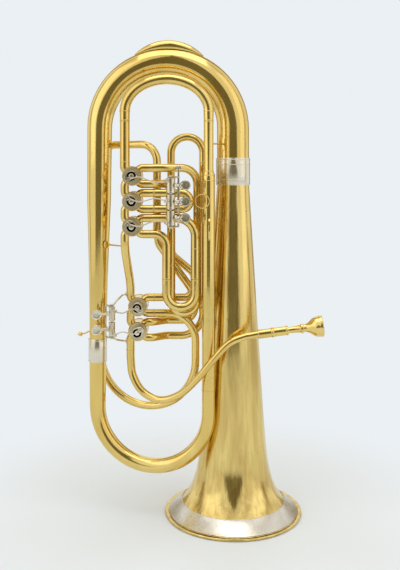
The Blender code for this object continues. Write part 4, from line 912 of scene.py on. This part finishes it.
def make_rotor(number):
    """Rotor body, spindle, hub with a groove round it, and the comma-shaped crank with its pin."""
    centre = valve_centre(number)
    front = centre - Vector((0, CASING_LENGTH / 2, 0))
    builder = bmesh.new()
    back = CASING_LENGTH - 3.4
    profile = [(back + 5, 3.0), (back, 3.0), (back, ROTOR_RADIUS), (3.6, ROTOR_RADIUS), (3.6, 3.0), (-0.6, 3.0),
               (-0.6, HUB_RADIUS), (-3.0, HUB_RADIUS), (-3.4, HUB_RADIUS - 0.5), (-8.0, HUB_RADIUS - 0.5),
               (-8.4, HUB_RADIUS), (-HUB_FRONT + 0.5, HUB_RADIUS), (-HUB_FRONT, HUB_RADIUS - 0.6),
               (-HUB_FRONT, 4.6), (-HUB_FRONT - 0.6, 4.2), (-HUB_FRONT - 0.9, 3.6), (-HUB_FRONT - 0.9, 0.1)]
    add_turned(builder, profile, front, (0, 1, 0), 48, closed=False)
    toward = crank_direction(number) * math.sqrt(0.5)
    add_crank(builder, front - Vector((0, HUB_FRONT - 2.4, 0)), toward)
    start = front + toward * CRANK_RADIUS - Vector((0, HUB_FRONT - 1, 0))
    add_turned(builder, [(0, 0.05), (0, 1.5), (4.0, 1.5), (4.3, 2.3), (5.2, 2.1), (5.5, 0.05)], start, (0, -1, 0),
               20, closed=False)
    make_piece(f"rotor_body_{number}", builder, NICKEL, f"rotor_{number}", (f"rotor_{number}",))


def add_crank(builder, centre, toward):
    """A flat comma: a round boss drawn out to one side round the pin."""
    side = Vector((toward.z, 0, -toward.x))
    outline = []
    for degrees in range(0, 360, 10):
        angle = math.radians(degrees)
        reach = HUB_RADIUS + 0.6 + 3.4 * max(0.0, math.cos(angle)) ** 3 + 1.2 * max(0.0, math.cos(angle - 0.7)) ** 2
        outline.append(toward * math.cos(angle) * reach + side * math.sin(angle) * reach)
    rings = []
    for depth, share in ((0.0, 0.97), (-0.4, 1.0), (-2.0, 1.0), (-2.4, 0.96)):
        rings.append([builder.verts.new(centre + spot * share + Vector((0, depth, 0))) for spot in outline])
    for a, b in zip(rings, rings[1:]):
        bridge(builder, a, b)
    builder.faces.new(rings[0])
    builder.faces.new(rings[-1])


def make_rear_cap(number):
    """Screwed cap with a milled edge and a domed centre."""
    centre = valve_centre(number)
    back = centre + Vector((0, CASING_LENGTH / 2, 0))
    builder = bmesh.new()
    grips = 72
    rings = []
    edge = CASING_RADIUS + 0.8
    for depth, radius, milled in ((0.2, edge - 0.6, 0.0), (0.6, edge, 1.0), (4.2, edge, 1.0), (4.6, edge - 0.6, 0.0),
                                  (5.4, edge - 3.0, 0.0), (5.6, 9.0, 0.0), (5.3, 8.4, 0.0), (5.3, 6.6, 0.0),
                                  (7.0, 5.6, 0.0), (7.2, 0.4, 0.0)):
        verts = []
        for index in range(2 * grips):
            angle = math.pi * index / grips
            reach = radius - 0.35 * milled * (index % 2)
            verts.append(builder.verts.new(back + Vector((math.cos(angle) * reach, depth, math.sin(angle) * reach))))
        rings.append(verts)
    for a, b in zip(rings, rings[1:]):
        bridge(builder, a, b)
    builder.faces.new(rings[0])
    builder.faces.new(rings[-1])
    make_piece(f"cap_{number}", builder, BRASS, nodes=(f"rear_cap_{number}",))


def make_crossover():
    """Tube from valve 4 up to valve 3, with its stay to the left branch."""
    builder = bmesh.new()
    upper = port_start(3, -1, -1)
    lower = port_start(4, -1, 1)
    high = upper[1].copy()
    high.z = CROSSOVER_TOP
    low = lower[1].copy()
    low.z = CROSSOVER_BOTTOM
    bends = [KNUCKLE_BEND, CROSSOVER_BEND, CROSSOVER_BEND, KNUCKLE_BEND]
    add_pipe(builder, rounded(upper + [high, low, lower[1], lower[0]], bends), VALVE_TUBE_RADIUS)
    for place_z in (CROSSOVER_TOP + 12, CROSSOVER_BOTTOM - 6):
        x, y = (upper[1].x, FRONT_Y) if place_z > CROSSOVER_TOP else (lower[1].x, LOWER_Y)
        add_bead(builder, (x, y, place_z), (0, 0, 1), VALVE_TUBE_RADIUS, 0.6)
    branch = Vector((-2 * TOP_BOW_RADIUS, 0, LEFT_STAY_Z))
    run = (branch - Vector((upper[1].x, FRONT_Y, LEFT_STAY_Z))).normalized()
    start = Vector((upper[1].x, FRONT_Y, LEFT_STAY_Z)) + run * (VALVE_TUBE_RADIUS - 0.5)
    end = branch - run * LEFT_BRANCH_STAY_REACH
    add_pipe(builder, [start, end], 1.5, 16)
    add_turned(builder, [(-1.8, 0.1), (-1.8, 3.0), (-1.0, 6.8), (-0.4, 7.5), (0.6, 7.5), (0.6, 0.1)], end, run,
               32, closed=False)
    make_piece("crossover_tube", builder, BRASS, nodes=("valve_crossover",))


def fixed_tube(name, node, route, radius=VALVE_TUBE_RADIUS, beads=(), hollow=(False, True)):
    """A valve tube that starts in its casing and ends where a slide enters it."""
    builder = bmesh.new()
    add_pipe(builder, route, radius, hollow=hollow)
    for spot, axis in beads:
        size = radius(1.0) if callable(radius) else radius
        add_bead(builder, spot, axis, size, 0.6)
    make_piece(name, builder, BRASS, nodes=(node,))


def add_slide(builder, corners, bends, radius, leg):
    """A slide: a bent tube whose two ends run on as thinner inner legs."""
    body = rounded(corners, bends)
    first = (body[0] - body[1]).normalized()
    last = (body[-1] - body[-2]).normalized()
    add_pipe(builder, body, radius, hollow=(True, True))
    for end, outward in ((body[0], first), (body[-1], last)):
        add_tube(builder, [(end - outward * 4, SLIDE_LEG_RADIUS), (end + outward * leg, SLIDE_LEG_RADIUS)],
                 hollow=(False, True))
        add_bead(builder, end - outward * 1.0, outward, radius, 0.6)


def upright_slide(name, node, left, right, joint_z, bow_z, radius, leg):
    """A U slide between two upright legs, which hangs or stands according to its bow."""
    gap = JOINT_GAP if bow_z > joint_z else -JOINT_GAP
    reach = (Vector(right) - Vector(left)).length / 2
    tip = bow_z + reach if bow_z > joint_z else bow_z - reach
    corners = []
    for x, y, z in ((left[0], left[1], joint_z + gap), (left[0], left[1], tip),
                    (right[0], right[1], tip), (right[0], right[1], joint_z + gap)):
        corners.append(Vector((x, y, z)))
    builder = bmesh.new()
    add_slide(builder, corners, [reach * 0.985, reach * 0.985], radius, leg)
    make_piece(name, builder, BRASS, node, nodes=(node,))


def make_valve_1_tubes():
    upper = port_start(1, 1, 1)
    high = upper[1].z
    route = upper + [(-125.0, FRONT_Y, high), (SLIDE_1_RIGHT_X, SLIDE_1_Y, high),
                     (SLIDE_1_RIGHT_X, SLIDE_1_Y, SLIDE_1_JOINT_Z)]
    end = Vector((SLIDE_1_RIGHT_X, SLIDE_1_Y, SLIDE_1_JOINT_Z + 1))
    fixed_tube("valve_1_upper_run", "valve_1_upper_tube", rounded(route, [KNUCKLE_BEND, 40, 30]),
               beads=[(end, (0, 0, 1))])
    lower = port_start(1, 1, -1)
    low = lower[1].z
    route = lower + [(-150.0, FRONT_Y, low), (SLIDE_1_LEFT_X, SLIDE_1_Y, low),
                     (SLIDE_1_LEFT_X, SLIDE_1_Y, SLIDE_1_JOINT_Z)]
    end = Vector((SLIDE_1_LEFT_X, SLIDE_1_Y, SLIDE_1_JOINT_Z + 1))
    fixed_tube("valve_1_lower_run", "valve_1_lower_tube", rounded(route, [KNUCKLE_BEND, 20, 16]),
               beads=[(end, (0, 0, 1))])
    upright_slide("slide_1", "valve_1_slide", (SLIDE_1_LEFT_X, SLIDE_1_Y), (SLIDE_1_RIGHT_X, SLIDE_1_Y),
                  SLIDE_1_JOINT_Z, SLIDE_1_BOW_Z, VALVE_TUBE_RADIUS, SLIDE_LEG)


def make_valve_2_slide():
    centre = valve_centre(2)
    offset = port_offset()
    tip = SLIDE_2_BOW_X + offset
    start = SLIDE_2_JOINT_X + JOINT_GAP
    corners = [(start, FRONT_Y, centre.z + offset), (tip, FRONT_Y, centre.z + offset),
               (tip, FRONT_Y, centre.z - offset), (start, FRONT_Y, centre.z - offset)]
    builder = bmesh.new()
    add_slide(builder, corners, [offset * 0.985, offset * 0.985], VALVE_TUBE_RADIUS, SLIDE_2_LEG)
    outward = Vector((math.sqrt(0.5), -math.sqrt(0.5), 0))
    root = Vector((tip, FRONT_Y, centre.z)) + outward * (VALVE_TUBE_RADIUS - 0.6)
    ring_y = FRONT_Y - THIRD_BRANCH_RADIUS - PULL_RING_CLEARANCE - PULL_RING_WIRE
    eye = Vector((tip + VALVE_TUBE_RADIUS + 2.5, ring_y, centre.z))
    middle = eye + Vector((PULL_RING_RADIUS, 0, 0))
    add_pipe(builder, [root, eye], 1.4, 12)
    add_ring_wire(builder, middle, PULL_RING_RADIUS, PULL_RING_WIRE)
    add_turned(builder, [(-2.2, 0.1), (-2.2, 1.9), (2.2, 1.9), (2.2, 0.1)], eye - Vector((0.6, 0, 0)), (0, 0, 1), 16,
               closed=False)
    make_piece("slide_2", builder, BRASS, "valve_2_slide", nodes=("valve_2_slide",))


def add_ring_wire(builder, middle, radius, wire, count=56):
    """A ring of wire that faces the front."""
    rings = []
    for index in range(count):
        angle = 2 * math.pi * index / count
        out = Vector((math.cos(angle), 0, math.sin(angle)))
        rings.append(ring(builder, middle + out * radius, out, Vector((0, 1, 0)), wire, 12))
    for index in range(count):
        bridge(builder, rings[index], rings[(index + 1) % count])


def make_valve_3_tubes():
    upper = port_start(3, 1, 1)
    route = upper + [(SLIDE_3_RIGHT_X, FRONT_Y, upper[1].z), (SLIDE_3_RIGHT_X, FRONT_Y, SLIDE_3_JOINT_Z)]

    def widening(share):
        return VALVE_TUBE_RADIUS + (SLIDE_3_RADIUS - VALVE_TUBE_RADIUS) * min(1.0, 1.6 * share)

    end = Vector((SLIDE_3_RIGHT_X, FRONT_Y, SLIDE_3_JOINT_Z + 1))
    neck = Vector((SLIDE_3_RIGHT_X, FRONT_Y, SLIDE_3_NECK_Z))
    fixed_tube("valve_3_upper_run", "valve_3_upper_tube", rounded(route, [KNUCKLE_BEND, 34]), widening,
               [(end, (0, 0, 1)), (neck, (0, 0, 1))])
    lower = port_start(3, 1, -1)
    route = lower + [(SLIDE_3_LEFT_X, FRONT_Y, lower[1].z), (SLIDE_3_LEFT_X, FRONT_Y, SLIDE_3_JOINT_Z)]
    end = Vector((SLIDE_3_LEFT_X, FRONT_Y, SLIDE_3_JOINT_Z + 1))
    fixed_tube("valve_3_lower_run", "valve_3_lower_tube", rounded(route, [KNUCKLE_BEND, 22]), widening,
               [(end, (0, 0, 1))])
    upright_slide("slide_3", "valve_3_slide", (SLIDE_3_LEFT_X, FRONT_Y), (SLIDE_3_RIGHT_X, FRONT_Y),
                  SLIDE_3_JOINT_Z, SLIDE_3_JOINT_Z - SLIDE_3_DROP, SLIDE_3_RADIUS, SHORT_SLIDE_LEG)


def make_valve_4_tubes():
    upper = port_start(4, 1, 1)
    route = upper + [(-68.0, SLIDE_4_Y, upper[1].z), (-140.0, SLIDE_4_Y, 507.0),
                     (SLIDE_4_X, SLIDE_4_Y, 530.0), (SLIDE_4_X, SLIDE_4_Y, SLIDE_4_JOINT_Z)]
    beads = [(Vector((SLIDE_4_X, SLIDE_4_Y, SLIDE_4_JOINT_Z - 1)), (0, 0, 1)),
             (Vector((VALVE_45_BEAD_X, LOWER_Y, upper[1].z)), (1, 0, 0))]
    fixed_tube("valve_4_upper_run", "valve_4_upper_tube", rounded(route, [KNUCKLE_BEND, 12, 20, 20]), LOOP_RADIUS,
               beads)
    lower = port_start(4, 1, -1)
    bend = 52.0
    turn = rounded(lower + [(LOOP_4_X, LOWER_Y, lower[1].z), (LOOP_4_X, LOWER_Y, LOOP_4_CENTRE_Z + 2)],
                   [KNUCKLE_BEND, bend])[:-1]
    radius = (LOOP_4_X - RISER_X) / 2
    centre_x = (LOOP_4_X + RISER_X) / 2
    bow = []
    for step in range(BOW_STEPS + 1):
        angle = math.pi * step / BOW_STEPS
        share = step / BOW_STEPS
        bow.append(Vector((centre_x + radius * math.cos(angle),
                           LOWER_Y + (RISER_Y - LOWER_Y) * (3 * share ** 2 - 2 * share ** 3),
                           LOOP_4_CENTRE_Z - radius * math.sin(angle))))
    route = turn + bow + [Vector((RISER_X, RISER_Y, SLIDE_4_JOINT_Z))]
    beads = [(Vector((RISER_X, RISER_Y, SLIDE_4_JOINT_Z - 1)), (0, 0, 1)),
             (Vector((VALVE_45_BEAD_X, LOWER_Y, lower[1].z)), (1, 0, 0))]
    fixed_tube("valve_4_lower_run", "valve_4_lower_tube", route, LOOP_RADIUS, beads)
    corners = [Vector((RISER_X, RISER_Y, SLIDE_4_JOINT_Z + JOINT_GAP)), Vector((RISER_X, RISER_Y, SLIDE_4_TOP)),
               Vector((SLIDE_4_X, SLIDE_4_Y, SLIDE_4_TOP)), Vector((SLIDE_4_X, SLIDE_4_Y, SLIDE_4_JOINT_Z + JOINT_GAP))]
    builder = bmesh.new()
    add_slide(builder, corners, [33, 33], LOOP_RADIUS, SHORT_SLIDE_LEG)
    make_piece("slide_4", builder, BRASS, "valve_4_slide", nodes=("valve_4_slide",))


def make_valve_5_tubes():
    upper = port_start(5, 1, 1)
    inner_x = SLIDE_5_RIGHT_X - 2 * LOOP_RADIUS - 1.4
    high = upper[1].z
    route = upper + [(-152.0, LOWER_Y, high), (-126.0, SLIDE_5_Y, high), (inner_x, SLIDE_5_Y, high),
                     (inner_x, SLIDE_5_Y, 450.0), (SLIDE_5_LEFT_X, SLIDE_5_Y, 487.0),
                     (SLIDE_5_LEFT_X, SLIDE_5_Y, SLIDE_5_JOINT_Z)]
    beads = [(Vector((SLIDE_5_LEFT_X, SLIDE_5_Y, SLIDE_5_JOINT_Z - 1)), (0, 0, 1))]
    fixed_tube("valve_5_upper_run", "valve_5_upper_tube", rounded(route, [KNUCKLE_BEND, 18, 18, 22, 22, 22]),
               LOOP_RADIUS, beads)
    lower = port_start(5, 1, -1)
    low = lower[1].z
    route = lower + [(-152.0, LOWER_Y, low), (-126.0, SLIDE_5_Y, low), (SLIDE_5_RIGHT_X, SLIDE_5_Y, low),
                     (SLIDE_5_RIGHT_X, SLIDE_5_Y, SLIDE_5_JOINT_Z)]
    beads = [(Vector((SLIDE_5_RIGHT_X, SLIDE_5_Y, SLIDE_5_JOINT_Z - 1)), (0, 0, 1))]
    fixed_tube("valve_5_lower_run", "valve_5_lower_tube", rounded(route, [KNUCKLE_BEND, 18, 18, 42]), LOOP_RADIUS,
               beads)
    upright_slide("slide_5", "valve_5_slide", (SLIDE_5_LEFT_X, SLIDE_5_Y), (SLIDE_5_RIGHT_X, SLIDE_5_Y),
                  SLIDE_5_JOINT_Z, SLIDE_5_BOW_Z, LOOP_RADIUS, SHORT_SLIDE_LEG)


def mouthpiece_axis():
    angle = math.radians(MOUTHPIECE_RISE)
    return Vector((math.cos(angle), 0, math.sin(angle)))


def make_leadpipe():
    builder = bmesh.new()
    start = port_start(5, -1, -1)
    down = rounded(start + [(start[1].x, LOWER_Y, LEADPIPE_DROP_Z)], [KNUCKLE_BEND])
    bends = [(-188.6, -19, 262), (-169.5, -26, 233), (-136.0, -38, 221), (-100.4, -53, 235),
             (-68.1, -67.5, 267.4), (-39.2, -74, 303.6), (-12.1, -74.5, 332.4), (13.0, -72, 343.6)]
    entry = RECEIVER_START - mouthpiece_axis() * 6.0
    seat = RECEIVER_START + mouthpiece_axis() * 20.0
    route = down[:-1] + smooth_route([down[-1]] + [Vector(p) for p in bends] + [entry], 7) + [seat]

    def narrowing(share):
        return LEADPIPE_VALVE_RADIUS + (LEADPIPE_RADIUS - LEADPIPE_VALVE_RADIUS) * min(1.0, 1.6 * share)

    add_pipe(builder, route, narrowing)
    add_bead(builder, (start[1].x, LOWER_Y, LEADPIPE_DROP_Z + 14), (0, 0, 1), LEADPIPE_VALVE_RADIUS, 0.6)
    make_piece("leadpipe_run", builder, BRASS, nodes=("leadpipe",))


def make_mouthpiece():
    axis = mouthpiece_axis()
    outer = RECEIVER_RADIUS
    length = RECEIVER_LENGTH
    builder = bmesh.new()
    profile = [(-1.0, LEADPIPE_RADIUS - 0.3), (-1.0, outer - 0.8), (0, outer), (23.2, outer), (24, outer + 0.7),
               (25.8, outer + 0.9), (27.4, outer + 0.7), (28.2, outer), (length - 4, outer),
               (length - 3, outer + 0.8), (length - 0.8, outer + 0.9), (length, outer + 0.4), (length, 6.1),
               (length - 8, 6.1)]
    add_turned(builder, profile, RECEIVER_START, axis, 40, closed=False)
    make_piece("receiver", builder, BRASS, nodes=("mouthpiece_receiver",))
    base = RECEIVER_START + axis * length
    rim = MOUTHPIECE_RIM_RADIUS
    outside = [(-20.0, 5.5), (0.3, 5.5), (10, 6.0), (22, 6.7), (23.2, 7.4), (23.8, 8.6), (25.6, 8.9), (27.2, 8.6),
               (27.8, 7.4), (29, 7.0), (32, 7.2), (35, 8.1), (38, 9.7), (41, 12.0), (44, 14.6), (47, 16.6),
               (50, 17.8), (54, 18.5), (57, 18.8), (58, rim), (60, rim + 0.1), (62, rim), (63.1, rim - 0.9),
               (63.5, rim - 2.4)]
    inside = [(63.3, rim - 4.2), (62.4, rim - 5.4), (60, rim - 6.2), (56, 12.7), (50, 11.6), (44, 9.2), (39, 6.6),
              (35, 4.6), (31, 3.7), (28, 3.4), (-20.0, 4.0)]
    builder = bmesh.new()
    add_turned(builder, outside + inside, base, axis, 56)
    make_piece("mouthpiece_body", builder, BRASS, "mouthpiece", ("mouthpiece",))


def lever_layout(number):
    """Axle place, side on which the fingers press, and drum size of a lever."""
    if number <= 3:
        centre = Vector((UPPER_AXLE_X, UPPER_AXLE_Y, UPPER_LEVER_Z[number - 1]))
        return centre, 1, UPPER_DRUM_RADIUS, UPPER_DRUM_HEIGHT
    centre = Vector((LOWER_AXLE_X, LOWER_AXLE_Y, LOWER_LEVER_Z[number - 4]))
    return centre, -1, LOWER_DRUM_RADIUS, LOWER_DRUM_HEIGHT


def crank_height(number):
    """Height of a lever's crank above its drum's centre."""
    return {1: 10.0, 2: 0.0, 3: -9.0, 4: 9.0, 5: -9.0}[number]


def crank_end(number):
    centre, side, _, _ = lever_layout(number)
    return centre + Vector((-side * CRANK_REACH_X, CRANK_REACH_Y, crank_height(number)))


def add_bar(builder, start, end, width, thickness, bevel=0.3):
    """A flat bar between two points, upright in z by its thickness, with softened edges."""
    start = Vector(start)
    end = Vector(end)
    run = (end - start).normalized()
    across = Vector((-run.y, run.x, 0.0)).normalized() * width / 2
    up = Vector((0, 0, thickness / 2))
    corners = [start - across, end - across, end + across, start + across]
    low = [builder.verts.new(corner - up) for corner in corners]
    high = [builder.verts.new(corner + up) for corner in corners]
    bridge(builder, low, high)
    builder.faces.new(low)
    builder.faces.new(high)
    edges = list({edge for vert in low + high for edge in vert.link_edges})
    bmesh.ops.bevel(builder, geom=edges, offset=bevel, segments=2, affect="EDGES", profile=0.5)


def add_touch_plate(builder, plate, side, radius):
    """A dished round plate drawn out to a point towards its arm, with a rolled edge."""
    outline = []
    for index in range(48):
        angle = 2 * math.pi * index / 48
        x = math.cos(angle) * radius
        z = math.sin(angle) * radius
        if side * x < 0:
            x -= side * TOUCH_POINT * max(0.0, 1 - abs(z) / radius) ** 1.3
        outline.append(Vector((x, 0, z)))
    rings = []
    for depth, share in ((0.6, 0.5), (0.6, 0.96), (0.2, 1.0), (-0.8, 1.0), (-1.2, 0.96), (-1.2, 0.86), (-0.75, 0.8),
                         (-0.55, 0.4)):
        rings.append([builder.verts.new(plate + spot * share + Vector((0, depth - 0.6, 0))) for spot in outline])
    for a, b in zip(rings, rings[1:]):
        bridge(builder, a, b)
    builder.faces.new(rings[0])
    builder.faces.new(rings[-1])


def add_screw(builder, centre, axis, radius, height):
    """A domed screw head."""
    add_turned(builder, [(-0.4, radius), (height - 0.5, radius), (height, radius - 0.5), (height, 0.05)], centre, axis,
               20, closed=False)


def make_lever(number):
    """Spring drum with its end rings, touch arm with its plate, and crank arm."""
    centre, side, radius, height = lever_layout(number)
    half = height / 2
    builder = bmesh.new()
    profile = [(-half, radius - 0.9), (-half, radius + 0.35), (-half + 1.4, radius + 0.35), (-half + 1.7, radius),
               (half - 1.7, radius), (half - 1.4, radius + 0.35), (half - 0.3, radius + 0.35), (half, radius - 0.2),
               (half, 2.3), (half - 2, 2.3), (half - 2, radius - 0.9)]
    add_turned(builder, profile, centre, (0, 0, 1), 40)
    aim = Vector((side * TOUCH_REACH, -TOUCH_FORWARD, 0))
    toward = aim.normalized()
    plate = centre + aim
    elbow = centre + toward * (radius + 5.0)
    add_bar(builder, centre + toward * (radius - 0.8), elbow, 2.6, 9.0)
    add_bar(builder, elbow - toward, plate + Vector((side * 3.0, -1.2, 0)), 1.8, 5.0)
    add_touch_plate(builder, plate - Vector((0, 0.6, 0)), side, TOUCH_RADIUS)
    tip = crank_end(number)
    reach = Vector((tip.x - centre.x, tip.y - centre.y, 0)).normalized()
    root = Vector((centre.x, centre.y, tip.z)) + reach * (radius - 0.8)
    add_bar(builder, root, tip - reach * 1.5, 3.0, 2.4)
    add_turned(builder, [(-1.4, 0.05), (-1.4, 3.0), (-1.0, 3.4), (1.0, 3.4), (1.4, 3.0), (1.4, 0.05)], tip,
               (0, 0, 1), 24, closed=False)
    name = f"lever_{number}"
    make_piece(f"lever_arm_{number}", builder, NICKEL, name, (name,))


def make_link(number):
    """S-shaped rod with an upright eye on the crank pin and a flat eye at the lever."""
    centre = valve_centre(number)
    plane = centre.y - CASING_LENGTH / 2 - HUB_FRONT - 2.2
    pin = centre + crank_direction(number) * CRANK_RADIUS * math.sqrt(0.5)
    pin.y = plane
    tip = crank_end(number)
    above = -1 if number in (1, 4) else 1
    end = Vector((tip.x, plane, tip.z + above * 2.9))
    builder = bmesh.new()
    add_turned(builder, [(-1.3, 1.8), (-1.3, 3.3), (-1.0, 3.6), (1.0, 3.6), (1.3, 3.3), (1.3, 1.8)], pin, (0, 1, 0),
               24)
    run = end - pin
    start = pin + Vector((math.copysign(3.0, run.x), 0, 0))
    bow = -above * 5.0
    route = smooth_route([start, pin + run * 0.3 + Vector((0, 0, bow)),
                          pin + run * 0.68 - Vector((0, 0, bow * 0.4)),
                          end - Vector((math.copysign(2.4, run.x), 0, 0))], 8)
    add_pipe(builder, route, 1.2, 12)
    add_turned(builder, [(-1.1, 0.05), (-1.1, 2.7), (-0.8, 3.0), (0.8, 3.0), (1.1, 2.7), (1.1, 0.05)], end,
               (0, 0, 1), 24, closed=False)
    add_screw(builder, end + Vector((0, 0, above * 1.1)), (0, 0, above), 1.9, 1.2)
    name = f"link_{number}"
    make_piece(f"link_rod_{number}", builder, NICKEL, name, (name,))


def make_axles():
    """The two axles, with a disc that closes each drum below and a screw head on top."""
    upper_top = UPPER_LEVER_Z[0] + UPPER_DRUM_HEIGHT / 2 + 0.4 + FRAME_THICKNESS
    upper_bottom = UPPER_LEVER_Z[-1] - UPPER_DRUM_HEIGHT / 2 - 2.0 - FRAME_THICKNESS
    lower_top = LOWER_LEVER_Z[0] + LOWER_DRUM_HEIGHT / 2 + 0.4 + FRAME_THICKNESS
    lower_bottom = LOWER_LEVER_Z[-1] - LOWER_DRUM_HEIGHT / 2 - 2.0 - FRAME_THICKNESS
    for name, x, y, heights, radius, height, low, high in (
            ("lever_axle_upper", UPPER_AXLE_X, UPPER_AXLE_Y, UPPER_LEVER_Z, UPPER_DRUM_RADIUS, UPPER_DRUM_HEIGHT,
             upper_bottom, upper_top),
            ("lever_axle_lower", LOWER_AXLE_X, LOWER_AXLE_Y, LOWER_LEVER_Z, LOWER_DRUM_RADIUS, LOWER_DRUM_HEIGHT,
             lower_bottom, lower_top)):
        builder = bmesh.new()
        profile = [(low - 1.8, 0.05), (low - 1.8, 3.2), (low - 0.2, 3.4), (low - 0.2, 2.0)]
        seat = radius - 1.2
        for z in sorted(heights):
            bottom = z - height / 2
            profile += [(bottom - 1.5, 2.0), (bottom - 1.5, seat), (bottom + 1.5, seat), (bottom + 1.5, 2.0)]
        profile += [(high + 0.2, 2.0), (high + 0.2, 3.4), (high + 1.8, 3.0), (high + 1.8, 0.05)]
        add_turned(builder, profile, (x, y, 0), (0, 0, 1), 32, closed=False)
        make_piece(f"{name}_pin", builder, NICKEL, nodes=(name,))


def make_upper_frame():
    x, y = UPPER_AXLE_X, UPPER_AXLE_Y
    top = UPPER_LEVER_Z[0] + UPPER_DRUM_HEIGHT / 2 + 0.4
    bottom = UPPER_LEVER_Z[-1] - UPPER_DRUM_HEIGHT / 2 - 2.0
    thick = FRAME_THICKNESS
    rail_x = x + 12.0
    rail_y = y + 2.5
    tube_front = FRONT_Y - VALVE_TUBE_RADIUS
    high_tube = UPPER_VALVE_TOP_Z + port_offset()
    low_tube = valve_centre(3).z + port_offset()
    builder = bmesh.new()
    add_box(builder, (rail_x, rail_y, bottom - thick), (rail_x + 4, rail_y + 3.6, high_tube + 4), 0.6)
    for z in (top, bottom - thick):
        add_box(builder, (x - 5, y - 5, z), (rail_x + 3, y + 5, z + thick), 0.8)
    for z in (high_tube, low_tube):
        add_box(builder, (rail_x - 3, rail_y + 3, z - 4), (rail_x + 7, tube_front + 0.8, z + 4), 0.8)
        add_screw(builder, Vector((rail_x + 2, rail_y, z)), (0, -1, 0), 2.2, 0.5)
    make_piece("upper_key_frame", builder, NICKEL, nodes=("lever_frame_upper",))


def make_lower_frame():
    x, y = LOWER_AXLE_X, LOWER_AXLE_Y
    top = LOWER_LEVER_Z[0] + LOWER_DRUM_HEIGHT / 2 + 0.4
    bottom = LOWER_LEVER_Z[-1] - LOWER_DRUM_HEIGHT / 2 - 2.0
    thick = FRAME_THICKNESS
    rail_x = x - 10.5
    builder = bmesh.new()
    add_box(builder, (rail_x - 3, y + 2.5, bottom - thick), (rail_x, y + 5.5, top + thick), 0.6)
    for z in (top, bottom - thick):
        add_box(builder, (rail_x - 2, y - 3.6, z), (x + 4, y + 5, z + thick), 0.8)
    tube_x = LOWER_VALVE_X - port_offset() - VALVE_TUBE_RADIUS
    for z, rise in ((top + thick / 2, 19.0), (bottom - thick / 2, -10.0)):
        end_z = z + rise
        route = rounded([(x + 2, y, z), (x + 8, y, z + rise * 0.45), (tube_x - 6, LOWER_Y, end_z),
                         (tube_x + 0.6, LOWER_Y, end_z)], [8, 10])
        add_pipe(builder, route, 1.7, 16)
        add_turned(builder, [(-1.6, 0.1), (-1.6, 3.4), (-0.6, 4.6), (0.8, 4.8), (0.8, 0.1)], (tube_x, LOWER_Y, end_z),
                   (1, 0, 0), 24, closed=False)
    make_piece("lower_key_frame", builder, NICKEL, nodes=("lever_frame_lower",))


bpy.context.scene.view_settings.view_transform = "Standard"
make_camera()
make_world()
make_lamp("key", (-1500, -900, 1500), (0, 0, 500), (1.6, 2.0), 4)
make_lamp("fill", (1500, -500, 1200), (0, 0, 500), (1.2, 2.0), 2)
make_lamp("top", (0, -200, 2400), (0, 0, 400), (1.6, 1.6), 10)
make_floor()
dress_frame()
make_bell()
make_garland()
make_ferrules()
make_top_bow()
make_bow_guard()
make_bottom_bow()
make_third_branch()
make_tuning_slide()
for valve in range(1, 6):
    make_casing(valve)
    make_rotor(valve)
    make_rear_cap(valve)
    make_lever(valve)
    make_link(valve)
make_crossover()
make_valve_1_tubes()
make_valve_2_slide()
make_valve_3_tubes()
make_valve_4_tubes()
make_valve_5_tubes()
make_leadpipe()
make_mouthpiece()
make_axles()
make_upper_frame()
make_lower_frame()
